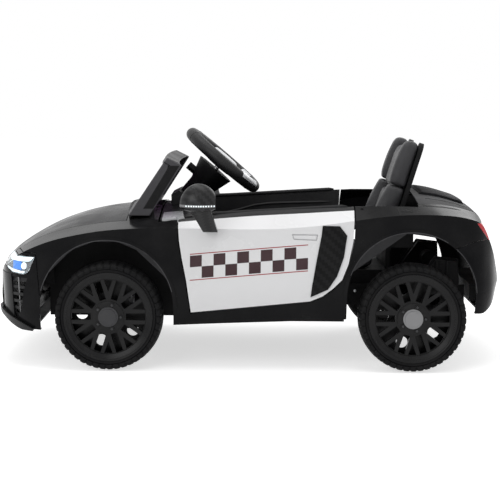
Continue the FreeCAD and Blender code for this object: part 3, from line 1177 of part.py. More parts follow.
def rim_form():
    """The rim: barrel, spoked face, hub with five lug lobes, and an inner disc with round holes."""
    w = TYRE_WIDTH
    barrel = disc(RIM_RADIUS, 0.4 * SHOULDER - RIM_EDGE, w - 0.4 * SHOULDER, RIM_RADIUS - RIM_WALL)
    face_y = FACE_DEEP
    edge_y = 0.4 * SHOULDER - RIM_EDGE
    dish = [Vector(RIM_RADIUS, edge_y, 0), Vector(RIM_RADIUS - RIM_EDGE, edge_y, 0),
            Vector(WINDOW_HIGH + RIM_EDGE, face_y - RIM_EDGE, 0), Vector(WINDOW_HIGH, face_y + RIM_EDGE, 0),
            Vector(WINDOW_HIGH, face_y + SPOKE_THICK, 0), Vector(RIM_RADIUS, face_y + SPOKE_THICK, 0)]
    flange = ring_profile(Part.makePolygon(dish + [dish[0]]).Edges)
    face = disc(RIM_RADIUS - 0.5 * RIM_WALL, face_y, face_y + SPOKE_THICK).cut(spoke_windows())
    hub = disc(HUB_RADIUS, face_y - HUB_PROUD, face_y + SPOKE_THICK)
    turns = [360.0 * i / LOBE_COUNT for i in range(LOBE_COUNT)]
    lobe_y = face_y - 2 * HUB_PROUD
    lobes = [rod(polar(LOBE_CIRCLE, turn, lobe_y), polar(LOBE_CIRCLE, turn, face_y), LOBE_RADIUS)
             for turn in turns]
    inner = disc(RIM_RADIUS - 0.5 * RIM_WALL, INNER_DISC_Y, INNER_DISC_Y + RIM_WALL)
    holes = [rod(polar(HOLE_CIRCLE, turn + 180.0 / LOBE_COUNT, INNER_DISC_Y),
                 polar(HOLE_CIRCLE, turn + 180.0 / LOBE_COUNT, INNER_DISC_Y + RIM_WALL), HOLE_RADIUS)
             for turn in turns]
    tube = disc(HUB_TUBE_RADIUS, face_y, TYRE_OUTER_Y - HUB_INNER_Y)
    rim = fused([barrel, flange, face, hub, inner.cut(holes), tube] + lobes)
    return rim.cut(disc(AXLE_RADIUS + RUNNING_CLEARANCE, 2 * CAP_THICK, TYRE_WIDTH + OVERRUN))


def cap_form():
    """The round hub cap with a shallow step."""
    low = disc(CAP_RADIUS, FACE_DEEP - HUB_PROUD - 0.6 * CAP_THICK, FACE_DEEP - HUB_PROUD)
    top = disc(0.8 * CAP_RADIUS, FACE_DEEP - HUB_PROUD - CAP_THICK, FACE_DEEP - HUB_PROUD)
    return low.fuse(top)


def make_wheels():
    """Four wheels, each a tyre, a rim and a cap on its own axle."""
    forms = {"tyre": tyre_form(), "rim": rim_form(), "cap": cap_form()}
    for end, x in (("front", FRONT_AXLE_X), ("rear", REAR_AXLE_X)):
        for side in ("left", "right"):
            for part, form in forms.items():
                shape = form.copy()
                shape.translate(Vector(x, -TYRE_OUTER_Y, TYRE_RADIUS))
                if side == "right":
                    shape = mirror(shape)
                save("wheel_" + end + "_" + side + "_" + part, [largest(shape)])


make_nose()
make_tail()
make_hood_and_deck()
make_screen()
make_seat(make_tray(make_dashboard()))
make_running_gear()
make_doors()
make_steering()
make_wheels()
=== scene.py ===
# %% [markdown]
# # A child's ride-on police car
# This lesson dresses a finished CAD model of an electric ride-on toy: a black two-door roadster
# with white doors, four plastic wheels and a small black seat. The CAD gives every solid its place
# in metres, with the nose towards -X, the driver's left side towards -Y and the floor at Z = 0.
# Blender adds the tread, the stitching, the lamps and the finishes. The first cell loads the solids
# as a fixed frame, so nothing here has to be fitted by eye.

# %% Load the frame
import json
import math

import bpy
import numpy as np
from mathutils import Matrix, Vector

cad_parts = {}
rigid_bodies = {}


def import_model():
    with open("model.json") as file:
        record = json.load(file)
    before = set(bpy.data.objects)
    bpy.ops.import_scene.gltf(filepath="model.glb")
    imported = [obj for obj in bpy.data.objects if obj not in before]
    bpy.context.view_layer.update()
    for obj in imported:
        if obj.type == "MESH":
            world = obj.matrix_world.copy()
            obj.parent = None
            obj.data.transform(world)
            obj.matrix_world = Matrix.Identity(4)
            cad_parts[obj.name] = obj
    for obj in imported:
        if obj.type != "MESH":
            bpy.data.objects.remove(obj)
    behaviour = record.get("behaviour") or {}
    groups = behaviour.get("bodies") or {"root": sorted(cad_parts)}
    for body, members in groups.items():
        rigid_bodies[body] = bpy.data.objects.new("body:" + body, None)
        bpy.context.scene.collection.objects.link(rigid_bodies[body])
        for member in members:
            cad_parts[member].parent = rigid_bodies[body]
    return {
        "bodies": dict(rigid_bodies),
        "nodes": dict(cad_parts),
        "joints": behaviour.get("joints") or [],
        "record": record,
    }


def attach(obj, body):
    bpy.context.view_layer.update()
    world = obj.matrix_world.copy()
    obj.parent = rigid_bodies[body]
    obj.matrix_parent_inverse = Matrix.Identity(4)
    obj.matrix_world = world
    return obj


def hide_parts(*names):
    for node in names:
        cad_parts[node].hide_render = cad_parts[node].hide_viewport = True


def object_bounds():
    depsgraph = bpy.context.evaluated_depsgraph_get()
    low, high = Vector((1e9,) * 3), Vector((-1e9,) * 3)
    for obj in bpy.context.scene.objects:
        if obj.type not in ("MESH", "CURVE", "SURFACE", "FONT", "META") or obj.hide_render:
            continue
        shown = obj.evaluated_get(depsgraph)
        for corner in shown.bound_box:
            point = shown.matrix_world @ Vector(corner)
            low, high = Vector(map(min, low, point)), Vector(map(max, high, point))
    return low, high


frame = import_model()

cad_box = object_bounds()
nodes = frame["nodes"]
print("solids in the frame:", len(nodes))

# %% [markdown]
# ## Camera
# The photograph was taken from the car's left, from a little above, with a long lens. The camera
# looks slightly down, so the horizon lies high in the picture, and it was held turned by under half
# a degree. A wide lens close by would give the same framing but would swell the nearer wheels, so
# distance, height and focal length are set together.

# %% Camera
CAMERA_DISTANCE = 3.350
CAMERA_HEIGHT = 0.609
CAMERA_TILT = math.radians(6.53)
CAMERA_ROLL = math.radians(0.42)
CAMERA_LENS = 105.6

camera_data = bpy.data.cameras.new("camera")
camera_data.lens = CAMERA_LENS
camera_data.sensor_width = 36.0
camera_data.clip_start = 0.05
camera_data.clip_end = 50.0
camera = bpy.data.objects.new("camera", camera_data)
bpy.context.scene.collection.objects.link(camera)
look = Matrix.Rotation(math.pi / 2 - CAMERA_TILT, 4, "X") @ Matrix.Rotation(CAMERA_ROLL, 4, "Z")
camera.matrix_world = Matrix.Translation((0.0, -CAMERA_DISTANCE, CAMERA_HEIGHT)) @ look
bpy.context.scene.camera = camera
print("camera at", [round(v, 3) for v in camera.location])

# %% [markdown]
# ## Helpers for surfaces
# Every new piece is a sheet of points: rows along one parameter, columns along another. Numpy works
# out all the points at once, and one call puts them into a mesh. Rows or columns that come back to
# their start are joined, and a tube's open ends are closed with one many-sided face.

# %% Surface helpers
FULL_TURN = 2 * math.pi
SIDES = (("left", -1), ("right", 1))


def quads(rows, columns, join_rows=False, join_columns=False):
    """Corner numbers of the four-sided faces between neighbouring points of a grid."""
    r = np.arange(rows if join_rows else rows - 1)
    c = np.arange(columns if join_columns else columns - 1)
    r, c = np.meshgrid(r, c, indexing="ij")
    r2, c2 = (r + 1) % rows, (c + 1) % columns
    corners = [r * columns + c, r * columns + c2, r2 * columns + c2, r2 * columns + c]
    return np.stack(corners, -1).reshape(-1, 4)


def outward(mesh):
    """Turns every face outwards, after points that lie on one another are merged."""
    import bmesh
    work = bmesh.new()
    work.from_mesh(mesh)
    bmesh.ops.remove_doubles(work, verts=work.verts, dist=1e-6)
    bmesh.ops.recalc_face_normals(work, faces=work.faces)
    work.to_mesh(mesh)
    work.free()


def piece(name, grids, body, material, smooth=True):
    """One object from one or more grids. A grid is (points, join_rows, join_columns, close_ends)."""
    points, faces, start = [], [], 0
    for grid, join_rows, join_columns, close_ends in grids:
        rows, columns = grid.shape[:2]
        faces += (quads(rows, columns, join_rows, join_columns) + start).tolist()
        if close_ends:
            faces.append((np.arange(columns) + start).tolist())
            faces.append((np.arange(columns) + start + (rows - 1) * columns).tolist())
        points.append(grid.reshape(-1, 3))
        start += rows * columns
    mesh = bpy.data.meshes.new(name)
    mesh.from_pydata(np.concatenate(points).tolist(), [], faces)
    outward(mesh)
    mesh.polygons.foreach_set("use_smooth", np.full(len(mesh.polygons), smooth))
    made = bpy.data.objects.new(name, mesh)
    bpy.context.scene.collection.objects.link(made)
    made.data.materials.append(material)
    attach(made, body)
    return made


def sharpen(made, degrees=35.0):
    """Marks edges sharper than this, so that smooth shading stops at them."""
    made.data.set_sharp_from_angle(angle=math.radians(degrees))
    return made


def mirrored(grid):
    """The same grid on the car's other side, with Y turned over."""
    return grid * np.array([1.0, -1.0, 1.0])


def both_sides(name, grids, body, material, sharp=40):
    """The left piece and its mirror image, each on the body of its own side. Edges over the sharp angle
    are marked, or none where it is None. Returns the right piece."""
    for side_name, _ in SIDES:
        side_grids = [(mirrored(g) if side_name == "right" else g, a, b, c) for g, a, b, c in grids]
        made = piece(f"{name}_{side_name}", side_grids, body.replace("left", side_name), material)
        if sharp:
            sharpen(made, sharp)
    return made


print("faces of a sheet of 3 by 3 points:", len(quads(3, 3)))

# %% [markdown]
# ## Shared effects
# Nearly every part of the toy is injection-moulded plastic. What tells one moulding from another is
# its polish, its grain and the dust that has settled on it. Those effects are node groups, built once
# and placed in each material with its own numbers. The groups give out only masks and heights; the
# shader itself stays in the material.

# %% Node groups
def new_group(name, inputs, outputs):
    """An empty shader node group with float inputs (name, default) and outputs (name, socket type)."""
    group = bpy.data.node_groups.new(name, "ShaderNodeTree")
    for label, default in inputs:
        socket = group.interface.new_socket(label, in_out="INPUT", socket_type="NodeSocketFloat")
        socket.default_value = default
    for label, kind in outputs:
        group.interface.new_socket(label, in_out="OUTPUT", socket_type=kind)
    return group, group.nodes.new("NodeGroupInput"), group.nodes.new("NodeGroupOutput")


def math_node(tree, operation, a, b=None, clamp=False):
    """A Math node; a and b are sockets or numbers."""
    node = tree.nodes.new("ShaderNodeMath")
    node.operation = operation
    node.use_clamp = clamp
    for place, value in enumerate((a, b)):
        if isinstance(value, bpy.types.NodeSocket):
            tree.links.new(value, node.inputs[place])
        elif value is not None:
            node.inputs[place].default_value = value
    return node.outputs[0]


def range_node(tree, value, from_low, from_high, to_low=0.0, to_high=1.0):
    """A Map Range node from one span of values to another, clamped."""
    node = tree.nodes.new("ShaderNodeMapRange")
    tree.links.new(value, node.inputs["Value"])
    spans = {"From Min": from_low, "From Max": from_high, "To Min": to_low, "To Max": to_high}
    for label, number in spans.items():
        node.inputs[label].default_value = number
    return node.outputs["Result"]


def noise_node(tree, vector, scale, detail=4.0, roughness=0.55):
    """A Noise Texture on the given coordinates; scale is a number or a socket."""
    node = tree.nodes.new("ShaderNodeTexNoise")
    tree.links.new(vector, node.inputs["Vector"])
    if isinstance(scale, bpy.types.NodeSocket):
        tree.links.new(scale, node.inputs["Scale"])
    else:
        node.inputs["Scale"].default_value = scale
    node.inputs["Detail"].default_value = detail
    node.inputs["Roughness"].default_value = roughness
    return node.outputs["Fac"]


def object_place(tree):
    """Object coordinates: metres in the car's own frame."""
    return tree.nodes.new("ShaderNodeTexCoord").outputs["Object"]


def make_dust_group():
    """Dust mask: blotches of noise, thicker on faces that look up. Polish: a fine, slow change of gloss."""
    group, given, made = new_group("settled_dust", [("Scale", 14.0), ("Amount", 0.2)],
                                   [("Dust", "NodeSocketFloat"), ("Polish", "NodeSocketFloat")])
    place = object_place(group)
    blotch = noise_node(group, place, given.outputs["Scale"])
    fine = noise_node(group, place, 260.0, 2.0)
    normal = group.nodes.new("ShaderNodeNewGeometry").outputs["Normal"]
    split = group.nodes.new("ShaderNodeSeparateXYZ")
    group.links.new(normal, split.inputs[0])
    upward = range_node(group, split.outputs["Z"], -0.2, 1.0, 0.35, 1.0)
    patch = range_node(group, math_node(group, "ADD", math_node(group, "MULTIPLY", blotch, 0.8),
                                        math_node(group, "MULTIPLY", fine, 0.2)), 0.42, 0.72)
    lying = math_node(group, "MULTIPLY", patch, upward)
    dust = math_node(group, "MULTIPLY", lying, given.outputs["Amount"], True)
    group.links.new(dust, made.inputs["Dust"])
    group.links.new(range_node(group, blotch, 0.3, 0.7), made.inputs["Polish"])
    return group


def make_grain_group():
    """Moulded grain: small rounded cells, as on the matt side of a plastic sheet, with finer noise on top."""
    group, given, made = new_group("moulded_grain", [("Scale", 900.0), ("Mix", 0.5)],
                                   [("Height", "NodeSocketFloat")])
    place = object_place(group)
    cells = group.nodes.new("ShaderNodeTexVoronoi")
    cells.feature = "SMOOTH_F1"
    group.links.new(place, cells.inputs["Vector"])
    group.links.new(given.outputs["Scale"], cells.inputs["Scale"])
    fine = noise_node(group, place, math_node(group, "MULTIPLY", given.outputs["Scale"], 1.7), 3.0)
    height = math_node(group, "ADD", math_node(group, "MULTIPLY", cells.outputs["Distance"], 0.7),
                       math_node(group, "MULTIPLY", fine, given.outputs["Mix"]))
    group.links.new(height, made.inputs["Height"])
    return group


def make_weave_group():
    """Carbon look: a twill of small tiles. Each tile's threads run along or across by a diagonal step."""
    group, given, made = new_group("carbon_weave", [("Pitch", 0.006)],
                                   [("Thread", "NodeSocketFloat"), ("Height", "NodeSocketFloat")])
    split = group.nodes.new("ShaderNodeSeparateXYZ")
    group.links.new(object_place(group), split.inputs[0])
    along = math_node(group, "DIVIDE", math_node(group, "ADD", split.outputs["X"], split.outputs["Y"]),
                      given.outputs["Pitch"])
    across = math_node(group, "DIVIDE", split.outputs["Z"], given.outputs["Pitch"])
    step = math_node(group, "ADD", math_node(group, "FLOOR", along), math_node(group, "FLOOR", across))
    place_in_four = math_node(group, "MODULO", math_node(group, "ADD", step, 1000.0), 4.0)
    turn = math_node(group, "LESS_THAN", place_in_four, 1.5)
    ridge_a = math_node(group, "PINGPONG", along, 0.5)
    ridge_b = math_node(group, "PINGPONG", across, 0.5)
    pick = group.nodes.new("ShaderNodeMix")
    group.links.new(turn, pick.inputs[0])
    group.links.new(ridge_a, pick.inputs[2])
    group.links.new(ridge_b, pick.inputs[3])
    group.links.new(turn, made.inputs["Thread"])
    group.links.new(pick.outputs[0], made.inputs["Height"])
    return group


dust_group, grain_group, weave_group = make_dust_group(), make_grain_group(), make_weave_group()
print("groups:", [g.name for g in bpy.data.node_groups])

# %% [markdown]
# ## Plastics, rubber and metal
# One function gives a moulded finish: a base colour that a thin veil of dust lightens, a gloss that
# changes slowly over the part, and a bump from the grain. The body has almost no grain, the white
# doors have a thin clear coat as well, and the tray has a coarse grain. The numbers are read from how
# sharply each part mirrors the white studio.

# %% Material maker
def plain_material(name):
    """A new material, its node tree and its Principled shader."""
    material = bpy.data.materials.new(name)
    material.use_nodes = True
    return material, material.node_tree, material.node_tree.nodes["Principled BSDF"]


def blend_node(tree, factor, first, second):
    """A Mix node that goes from the first colour to the second by the factor socket."""
    node = tree.nodes.new("ShaderNodeMix")
    node.data_type = "RGBA"
    node.inputs[6].default_value = (*first, 1.0)
    node.inputs[7].default_value = (*second, 1.0)
    tree.links.new(factor, node.inputs[0])
    return node


def add_bump(tree, shader, height, strength, distance):
    """A Bump node that turns a height socket into the shader's Normal."""
    bump = tree.nodes.new("ShaderNodeBump")
    bump.inputs["Strength"].default_value = strength
    bump.inputs["Distance"].default_value = distance
    tree.links.new(height, bump.inputs["Height"])
    tree.links.new(bump.outputs["Normal"], shader.inputs["Normal"])


def finish(name, colour, roughness, grain=0.0, grain_scale=900.0, dust=0.1, dust_colour=(0.42, 0.41, 0.40),
           coat=0.0, metallic=0.0, specular=0.5, spread=0.08):
    """A Principled material: dust lightens the colour and dulls the gloss; grain makes the bump."""
    material, tree, shader = plain_material(name)
    veil = tree.nodes.new("ShaderNodeGroup")
    veil.node_tree = dust_group
    veil.inputs["Amount"].default_value = dust
    tint = blend_node(tree, veil.outputs["Dust"], colour, dust_colour)
    tree.links.new(tint.outputs[2], shader.inputs["Base Color"])
    gloss = range_node(tree, veil.outputs["Polish"], 0.0, 1.0, max(roughness - spread, 0.02),
                       roughness + spread)
    dull = math_node(tree, "ADD", gloss, math_node(tree, "MULTIPLY", veil.outputs["Dust"], 0.5), True)
    tree.links.new(dull, shader.inputs["Roughness"])
    shader.inputs["Metallic"].default_value = metallic
    shader.inputs["Coat Weight"].default_value = coat
    shader.inputs["Coat Roughness"].default_value = 0.06
    shader.inputs["Specular IOR Level"].default_value = specular
    if grain:
        pattern = tree.nodes.new("ShaderNodeGroup")
        pattern.node_tree = grain_group
        pattern.inputs["Scale"].default_value = grain_scale
        add_bump(tree, shader, pattern.outputs["Height"], grain, 0.0006)
    return material


body_black = finish("body_black", (0.0065, 0.0065, 0.0072), 0.20, grain=0.02, grain_scale=220.0, dust=0.03,
                    specular=0.07)
under_black = finish("under_black", (0.004, 0.004, 0.0045), 0.55, grain=0.5, dust=0.03, specular=0.15)
trim_black = finish("trim_black", (0.010, 0.010, 0.011), 0.42, grain=0.35, grain_scale=1300.0, dust=0.05,
                    specular=0.25)
door_white = finish("door_white", (0.80, 0.80, 0.81), 0.22, grain=0.02, grain_scale=220.0, dust=0.08,
                    dust_colour=(0.66, 0.66, 0.64), coat=0.2)
tyre_black = finish("tyre_black", (0.005, 0.005, 0.0055), 0.66, grain=0.5, grain_scale=1500.0, dust=0.04,
                    specular=0.12)
rim_black = finish("rim_black", (0.006, 0.006, 0.0065), 0.28, grain=0.08, dust=0.05, specular=0.16)
hub_dark = finish("hub_dark", (0.03, 0.03, 0.033), 0.35, grain=0.1, dust=0.1, specular=0.3)
hub_silver = finish("hub_silver", (0.20, 0.20, 0.205), 0.36, grain=0.1, dust=0.1, metallic=0.6)
silver_trim = finish("silver_trim", (0.72, 0.73, 0.75), 0.24, grain=0.05, dust=0.05, metallic=0.45)
steel = finish("steel", (0.42, 0.42, 0.43), 0.38, grain=0.15, dust=0.12, metallic=1.0)
battery_case = finish("battery_case", (0.02, 0.02, 0.022), 0.5, grain=0.3, dust=0.1)
print("plain finishes:", len(bpy.data.materials))

# %% [markdown]
# ## Carbon look, leather, lamps and tinted screen
# The side blades and mirrors carry a printed carbon weave under a semi-gloss skin: a twill of small
# tiles in two dark greys. The seat is black imitation leather, whose grain is rounded cells of several
# sizes with fine creases. The screen is smoked acrylic, and the lamps are clear and red acrylic over
# lit strips. Transmission stays on the shader, and the patterns only steer colour, gloss and bump.

# %% Special materials
def carbon(name, depth=1.0):
    """Semi-gloss black with a two-tone twill and a slight bump along the threads. Depth scales both tones,
    which take the place of the plain colour under the dust; a depth below 1 makes a darker copy, as painted
    shade."""
    material = finish(name, (0.05, 0.05, 0.052), 0.34, dust=0.04 * depth, specular=0.25 * depth)
    tree = material.node_tree
    weave = tree.nodes.new("ShaderNodeGroup")
    weave.node_tree = weave_group
    tone = blend_node(tree, weave.outputs["Thread"], (0.005 * depth, 0.005 * depth, 0.0055 * depth),
                      (0.017 * depth, 0.017 * depth, 0.018 * depth))
    dust_tint = next(n for n in tree.nodes if n.type == "MIX" and n != tone)
    tree.links.new(tone.outputs[2], dust_tint.inputs[6])
    add_bump(tree, tree.nodes["Principled BSDF"], weave.outputs["Height"], 0.35, 0.0005)
    return material


def leather(name, colour):
    """Imitation leather: cells of two sizes, creased by stretched noise, with dust in the hollows."""
    material = finish(name, colour, 0.42, dust=0.05, spread=0.06, specular=0.35)
    tree = material.node_tree
    place = object_place(tree)
    cells = tree.nodes.new("ShaderNodeTexVoronoi")
    cells.feature = "DISTANCE_TO_EDGE"
    cells.inputs["Scale"].default_value = 520.0
    tree.links.new(place, cells.inputs["Vector"])
    pebble = range_node(tree, cells.outputs["Distance"], 0.0, 0.35)
    crease = noise_node(tree, place, 45.0, 6.0, 0.62)
    height = math_node(tree, "ADD", math_node(tree, "MULTIPLY", pebble, 0.35),
                       math_node(tree, "MULTIPLY", crease, 1.6))
    add_bump(tree, tree.nodes["Principled BSDF"], height, 0.5, 0.0016)
    return material


def acrylic(name, colour, roughness, transmission):
    """Clear or tinted plastic with faint moulding flow in its surface."""
    material, tree, shader = plain_material(name)
    shader.inputs["Base Color"].default_value = (*colour, 1.0)
    shader.inputs["Transmission Weight"].default_value = transmission
    shader.inputs["IOR"].default_value = 1.49
    flow = noise_node(tree, object_place(tree), 30.0, 3.0)
    tree.links.new(range_node(tree, flow, 0.3, 0.7, max(roughness - 0.02, 0.0), roughness + 0.03),
                   shader.inputs["Roughness"])
    add_bump(tree, shader, flow, 0.05, 0.001)
    return material


def lit(name, colour, strength):
    """A lit diffuser: nearly even light, a little uneven by slow noise."""
    material, tree, shader = plain_material(name)
    shader.inputs["Base Color"].default_value = (*colour, 1.0)
    shader.inputs["Roughness"].default_value = 0.3
    shader.inputs["Emission Strength"].default_value = strength
    level = range_node(tree, noise_node(tree, object_place(tree), 60.0, 2.0), 0.3, 0.7, 0.8, 1.0)
    glow = blend_node(tree, level, [0.12 * v for v in colour], colour)
    tree.links.new(glow.outputs[2], shader.inputs["Emission Color"])
    return material


carbon_black = carbon("carbon_black")
# Painted shade: the side blades get a darker copy of the carbon finish, as they are seen in shade.
blade_carbon_shaded = carbon("blade_carbon_shaded", 0.45)
seat_leather = leather("seat_leather", (0.030, 0.030, 0.033))
screen_tint = acrylic("screen_tint", (0.10, 0.045, 0.11), 0.05, 0.85)
lamp_clear = acrylic("lamp_clear", (0.93, 0.97, 1.0), 0.02, 1.0)
lamp_red = acrylic("lamp_red", (0.80, 0.020, 0.035), 0.10, 0.30)
lamp_white_lit = lit("lamp_white_lit", (0.86, 0.97, 1.0), 1.0)
lamp_blue_lit = lit("lamp_blue_lit", (0.02, 0.22, 0.75), 0.55)
print("materials:", len(bpy.data.materials))

# %% [markdown]
# ## Dress the solids
# The record names a finish for every solid. A finish is given to a solid through its material slot,
# and its mesh is left alone. Most solids keep their shape; the seat, the tyres and the headlamps
# are replaced by richer pieces further down.

# %% Assign finishes
by_slot = {
    "body_black": body_black, "under_black": under_black, "trim_black": trim_black, "door_white": door_white,
    "carbon_black": carbon_black, "tyre": tyre_black, "rim_black": rim_black, "hub_dark": hub_dark,
    "hub_silver": hub_silver, "silver_trim": silver_trim, "steel": steel, "seat_leather": seat_leather,
    "battery_case": battery_case, "screen_tint": screen_tint, "lamp_clear": lamp_clear, "lamp_red": lamp_red,
}
for part in frame["record"]["subparts"]:
    solid = nodes[part["node"]]
    solid.data.materials.clear()
    solid.data.materials.append(by_slot[part["material_slot"]])

# %% [markdown]
# ## Tyres
# The tyres are hollow moulded plastic with a road-tyre look: a smooth lower wall, a ring of short
# blocks on the shoulder, and slanted blocks on the tread, which two straight grooves cross on each
# side of its middle. A modelled groove catches light and shows in the outline, which a bump could
# not do. The whole tyre is one closed surface: a round-cornered section carried about the axle,
# pushed in where a groove lies.

# %% Tyre surface
AXLE_PLACES = {"front": -0.298002, "rear": 0.345021}
TYRE_R, RIM_R, TYRE_W, OUTER_Y = 0.115, 0.094, 0.076, 0.300
BLOCKS, STEPS_PER_BLOCK = 46, 7
GROOVE_DEEP = 0.0022
SHOULDER, SHOULDER_RISE, TREAD_CROWN, WALL_DISH = 0.009, 0.007, 0.002, 0.0036
SLOT_SHARE, SLOT_DEPTH, SLOT_SLANT = 0.27, 0.8, 0.9
SLOT_LOW_R, MIDDLE_HALF = 0.1015, 0.006
RING_PLACES, RING_HALF = (0.0125, 0.0245), 0.0014
WALL_RING_R, WALL_RING_HALF, WALL_FROM = 0.1005, 0.0008, 0.036


def tyre_section(count_wall=10, count_shoulder=12, count_tread=27):
    """Radius and width along the section: straight wall, quarter-ellipse shoulder, parabola tread, and back
    down the other side."""
    wall = np.stack([np.linspace(RIM_R, TYRE_R - SHOULDER, count_wall),
                     np.linspace(WALL_DISH, 0.0, count_wall)], -1)
    turn = np.linspace(0.0, math.pi / 2, count_shoulder + 1)[1:]
    shoulder = np.stack([TYRE_R - SHOULDER + SHOULDER_RISE * np.sin(turn), SHOULDER * (1 - np.cos(turn))], -1)
    across = np.linspace(SHOULDER, TYRE_W - SHOULDER, count_tread)[1:]
    from_middle = (across - TYRE_W / 2) / (TYRE_W / 2 - SHOULDER)
    tread = np.stack([TYRE_R - TREAD_CROWN * from_middle ** 2, across], -1)
    half = np.concatenate([wall, shoulder])
    back = half[::-1][1:] * [1, -1] + [0, TYRE_W]
    return np.concatenate([half, tread, back])


def tyre_grid(centre_x, side):
    """Section times angle. Depth is 1 in a ring groove and 0.8 in a cross slot; the section is pushed in
    along its own normal by depth times GROOVE_DEEP."""
    section = tyre_section()
    radius, width = section[:, 0], section[:, 1]
    steps = BLOCKS * STEPS_PER_BLOCK
    angle = np.arange(steps) * (FULL_TURN / steps)
    from_middle = np.abs(width - TYRE_W / 2)
    slant = SLOT_SLANT * np.sin(from_middle / (TYRE_W / 2) * math.pi) / BLOCKS
    phase = ((angle[:, None] + slant[None, :] * np.sign(width - TYRE_W / 2)) * BLOCKS / FULL_TURN) % 1.0
    in_slot = (phase < SLOT_SHARE) & ((radius > SLOT_LOW_R) & (from_middle > MIDDLE_HALF))[None, :]
    ring = np.min([np.abs(from_middle - place) for place in RING_PLACES], axis=0) < RING_HALF
    ring |= (np.abs(radius - WALL_RING_R) < WALL_RING_HALF) & (from_middle > WALL_FROM)
    depth = np.maximum(in_slot * SLOT_DEPTH, (ring * 1.0)[None, :])
    normal = np.gradient(section, axis=0)
    normal = np.stack([-normal[:, 1], normal[:, 0]], -1)
    normal /= np.linalg.norm(normal, axis=1, keepdims=True)
    shift = normal[None] * (depth * GROOVE_DEEP)[..., None]
    sign = 1.0 if normal[len(normal) // 2, 0] < 0 else -1.0
    r = radius[None, :] + sign * shift[..., 0]
    w = width[None, :] + sign * shift[..., 1]
    return np.stack([centre_x + r * np.cos(angle)[:, None],
                     side * (OUTER_Y - w), TYRE_R + r * np.sin(angle)[:, None]], -1)


for end, axle_x in AXLE_PLACES.items():
    for side_name, side in SIDES:
        body = f"wheel_{end}_{side_name}"
        tyre = piece(f"tyre_{end}_{side_name}", [(tyre_grid(axle_x, side), True, True, False)], body,
                     tyre_black)
        sharpen(tyre, 38)
        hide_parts(body + "_tyre")
print("tyre faces:", len(tyre.data.polygons))

# %% [markdown]
# ## Wheel nuts and the ring round the spokes
# Inside each of the five lobes round the hub sits a small six-sided nut, and a narrow polished ring
# runs round the ends of the spokes where the rim meets the tyre. Both are profiles turned about the
# wheel's axle.

# %% Nuts and rings
def turned(profile, centre, sides=48, phase=0.0, side=-1):
    """A profile of (radius, height) pairs turned about an axis along Y through the centre. Height points
    outwards."""
    profile = np.asarray(profile, float)
    angle = np.arange(sides) * (FULL_TURN / sides) + phase
    r, h = profile[:, 0][:, None], profile[:, 1][:, None]
    x = centre[0] + r * np.cos(angle)
    z = centre[2] + r * np.sin(angle)
    y = centre[1] + side * h + 0 * x
    return np.stack([x, y, z], -1)


NUT = [(0.0001, 0.0031), (0.0016, 0.0031), (0.0026, 0.0025), (0.0029, 0.0017), (0.0029, 0.0)]
NUT_COUNT, NUT_CIRCLE_R, NUT_SUNK = 5, 0.0265, 0.003
RIM_RING = [(0.0905, -0.0046), (0.0935, -0.0036), (0.0938, -0.0020), (0.0925, -0.0012), (0.0905, -0.0020),
            (0.0888, -0.0046)]
for end, axle_x in AXLE_PLACES.items():
    for side_name, side in SIDES:
        body = f"wheel_{end}_{side_name}"
        face_y = side * (OUTER_Y - NUT_SUNK)
        grids = []
        for i in range(NUT_COUNT):
            turn = math.radians(360 // NUT_COUNT * i)
            centre = (axle_x + NUT_CIRCLE_R * math.cos(turn), face_y, TYRE_R + NUT_CIRCLE_R * math.sin(turn))
            grids.append((turned(NUT, centre, 6, 0.3 * i, side), False, True, True))
        piece(f"nuts_{end}_{side_name}", grids, body, hub_dark, smooth=False)
        ring = turned(RIM_RING, (axle_x, side * OUTER_Y, TYRE_R), 120, 0.0, side)
        sharpen(piece(f"rim_ring_{end}_{side_name}", [(ring, True, True, False)], body,
                      rim_black), 50)
print("nuts and rings on", len(AXLE_PLACES) * 2, "wheels")

# %% [markdown]
# ## Seat padding
# The seat has a padded cushion and a backrest of six stitched pads: a middle panel above and one
# below, and on each side a tall lobe over a thicker bolster. Each pad starts as a closed form whose
# section is a rounded square and whose size follows the pad's length, a little smaller than the room
# it has. Cloth with air pressure then swells it as stuffing does, which gives the pulled-in sides
# and the small folds that a bevel can't.

# %% Pad forms
LEAN = math.radians(17.0)
HINGE = np.array([0.29998, 0.0, 0.240014])
SEAM_ROUND, TOP_ROUND = 0.0045, 0.016


def on_backrest(forward, across, up):
    """Forward of the backrest's rear face, across and up along it, turned back by the recline about its
    foot."""
    return np.stack([HINGE[0] + up * math.sin(LEAN) - forward * math.cos(LEAN), across,
                     HINGE[2] + up * math.cos(LEAN) + forward * math.sin(LEAN)], -1)


def rounded_section(count, power):
    """A superellipse round the unit square: cos and sin raised to 2 / power with their signs kept."""
    t = np.arange(count) * (FULL_TURN / count)
    c, s = np.cos(t), np.sin(t)
    return np.sign(c) * np.abs(c) ** (2 / power), np.sign(s) * np.abs(s) ** (2 / power)


def uneven(rows):
    """Places from nearly 0 to nearly 1, closer together at both ends: half of 1 - cos of an even angle."""
    return 0.002 + 0.996 * (1 - np.cos(np.linspace(0.0, math.pi, rows))) / 2


def end_size(from_end):
    """How full a section is: (1 - e ** 3) ** (1 / 3), with e from 0 in the pad to 1 at its end."""
    e = 1 - np.clip(from_end, 0, 1)
    return (1 - e ** 3) ** (1 / 3)


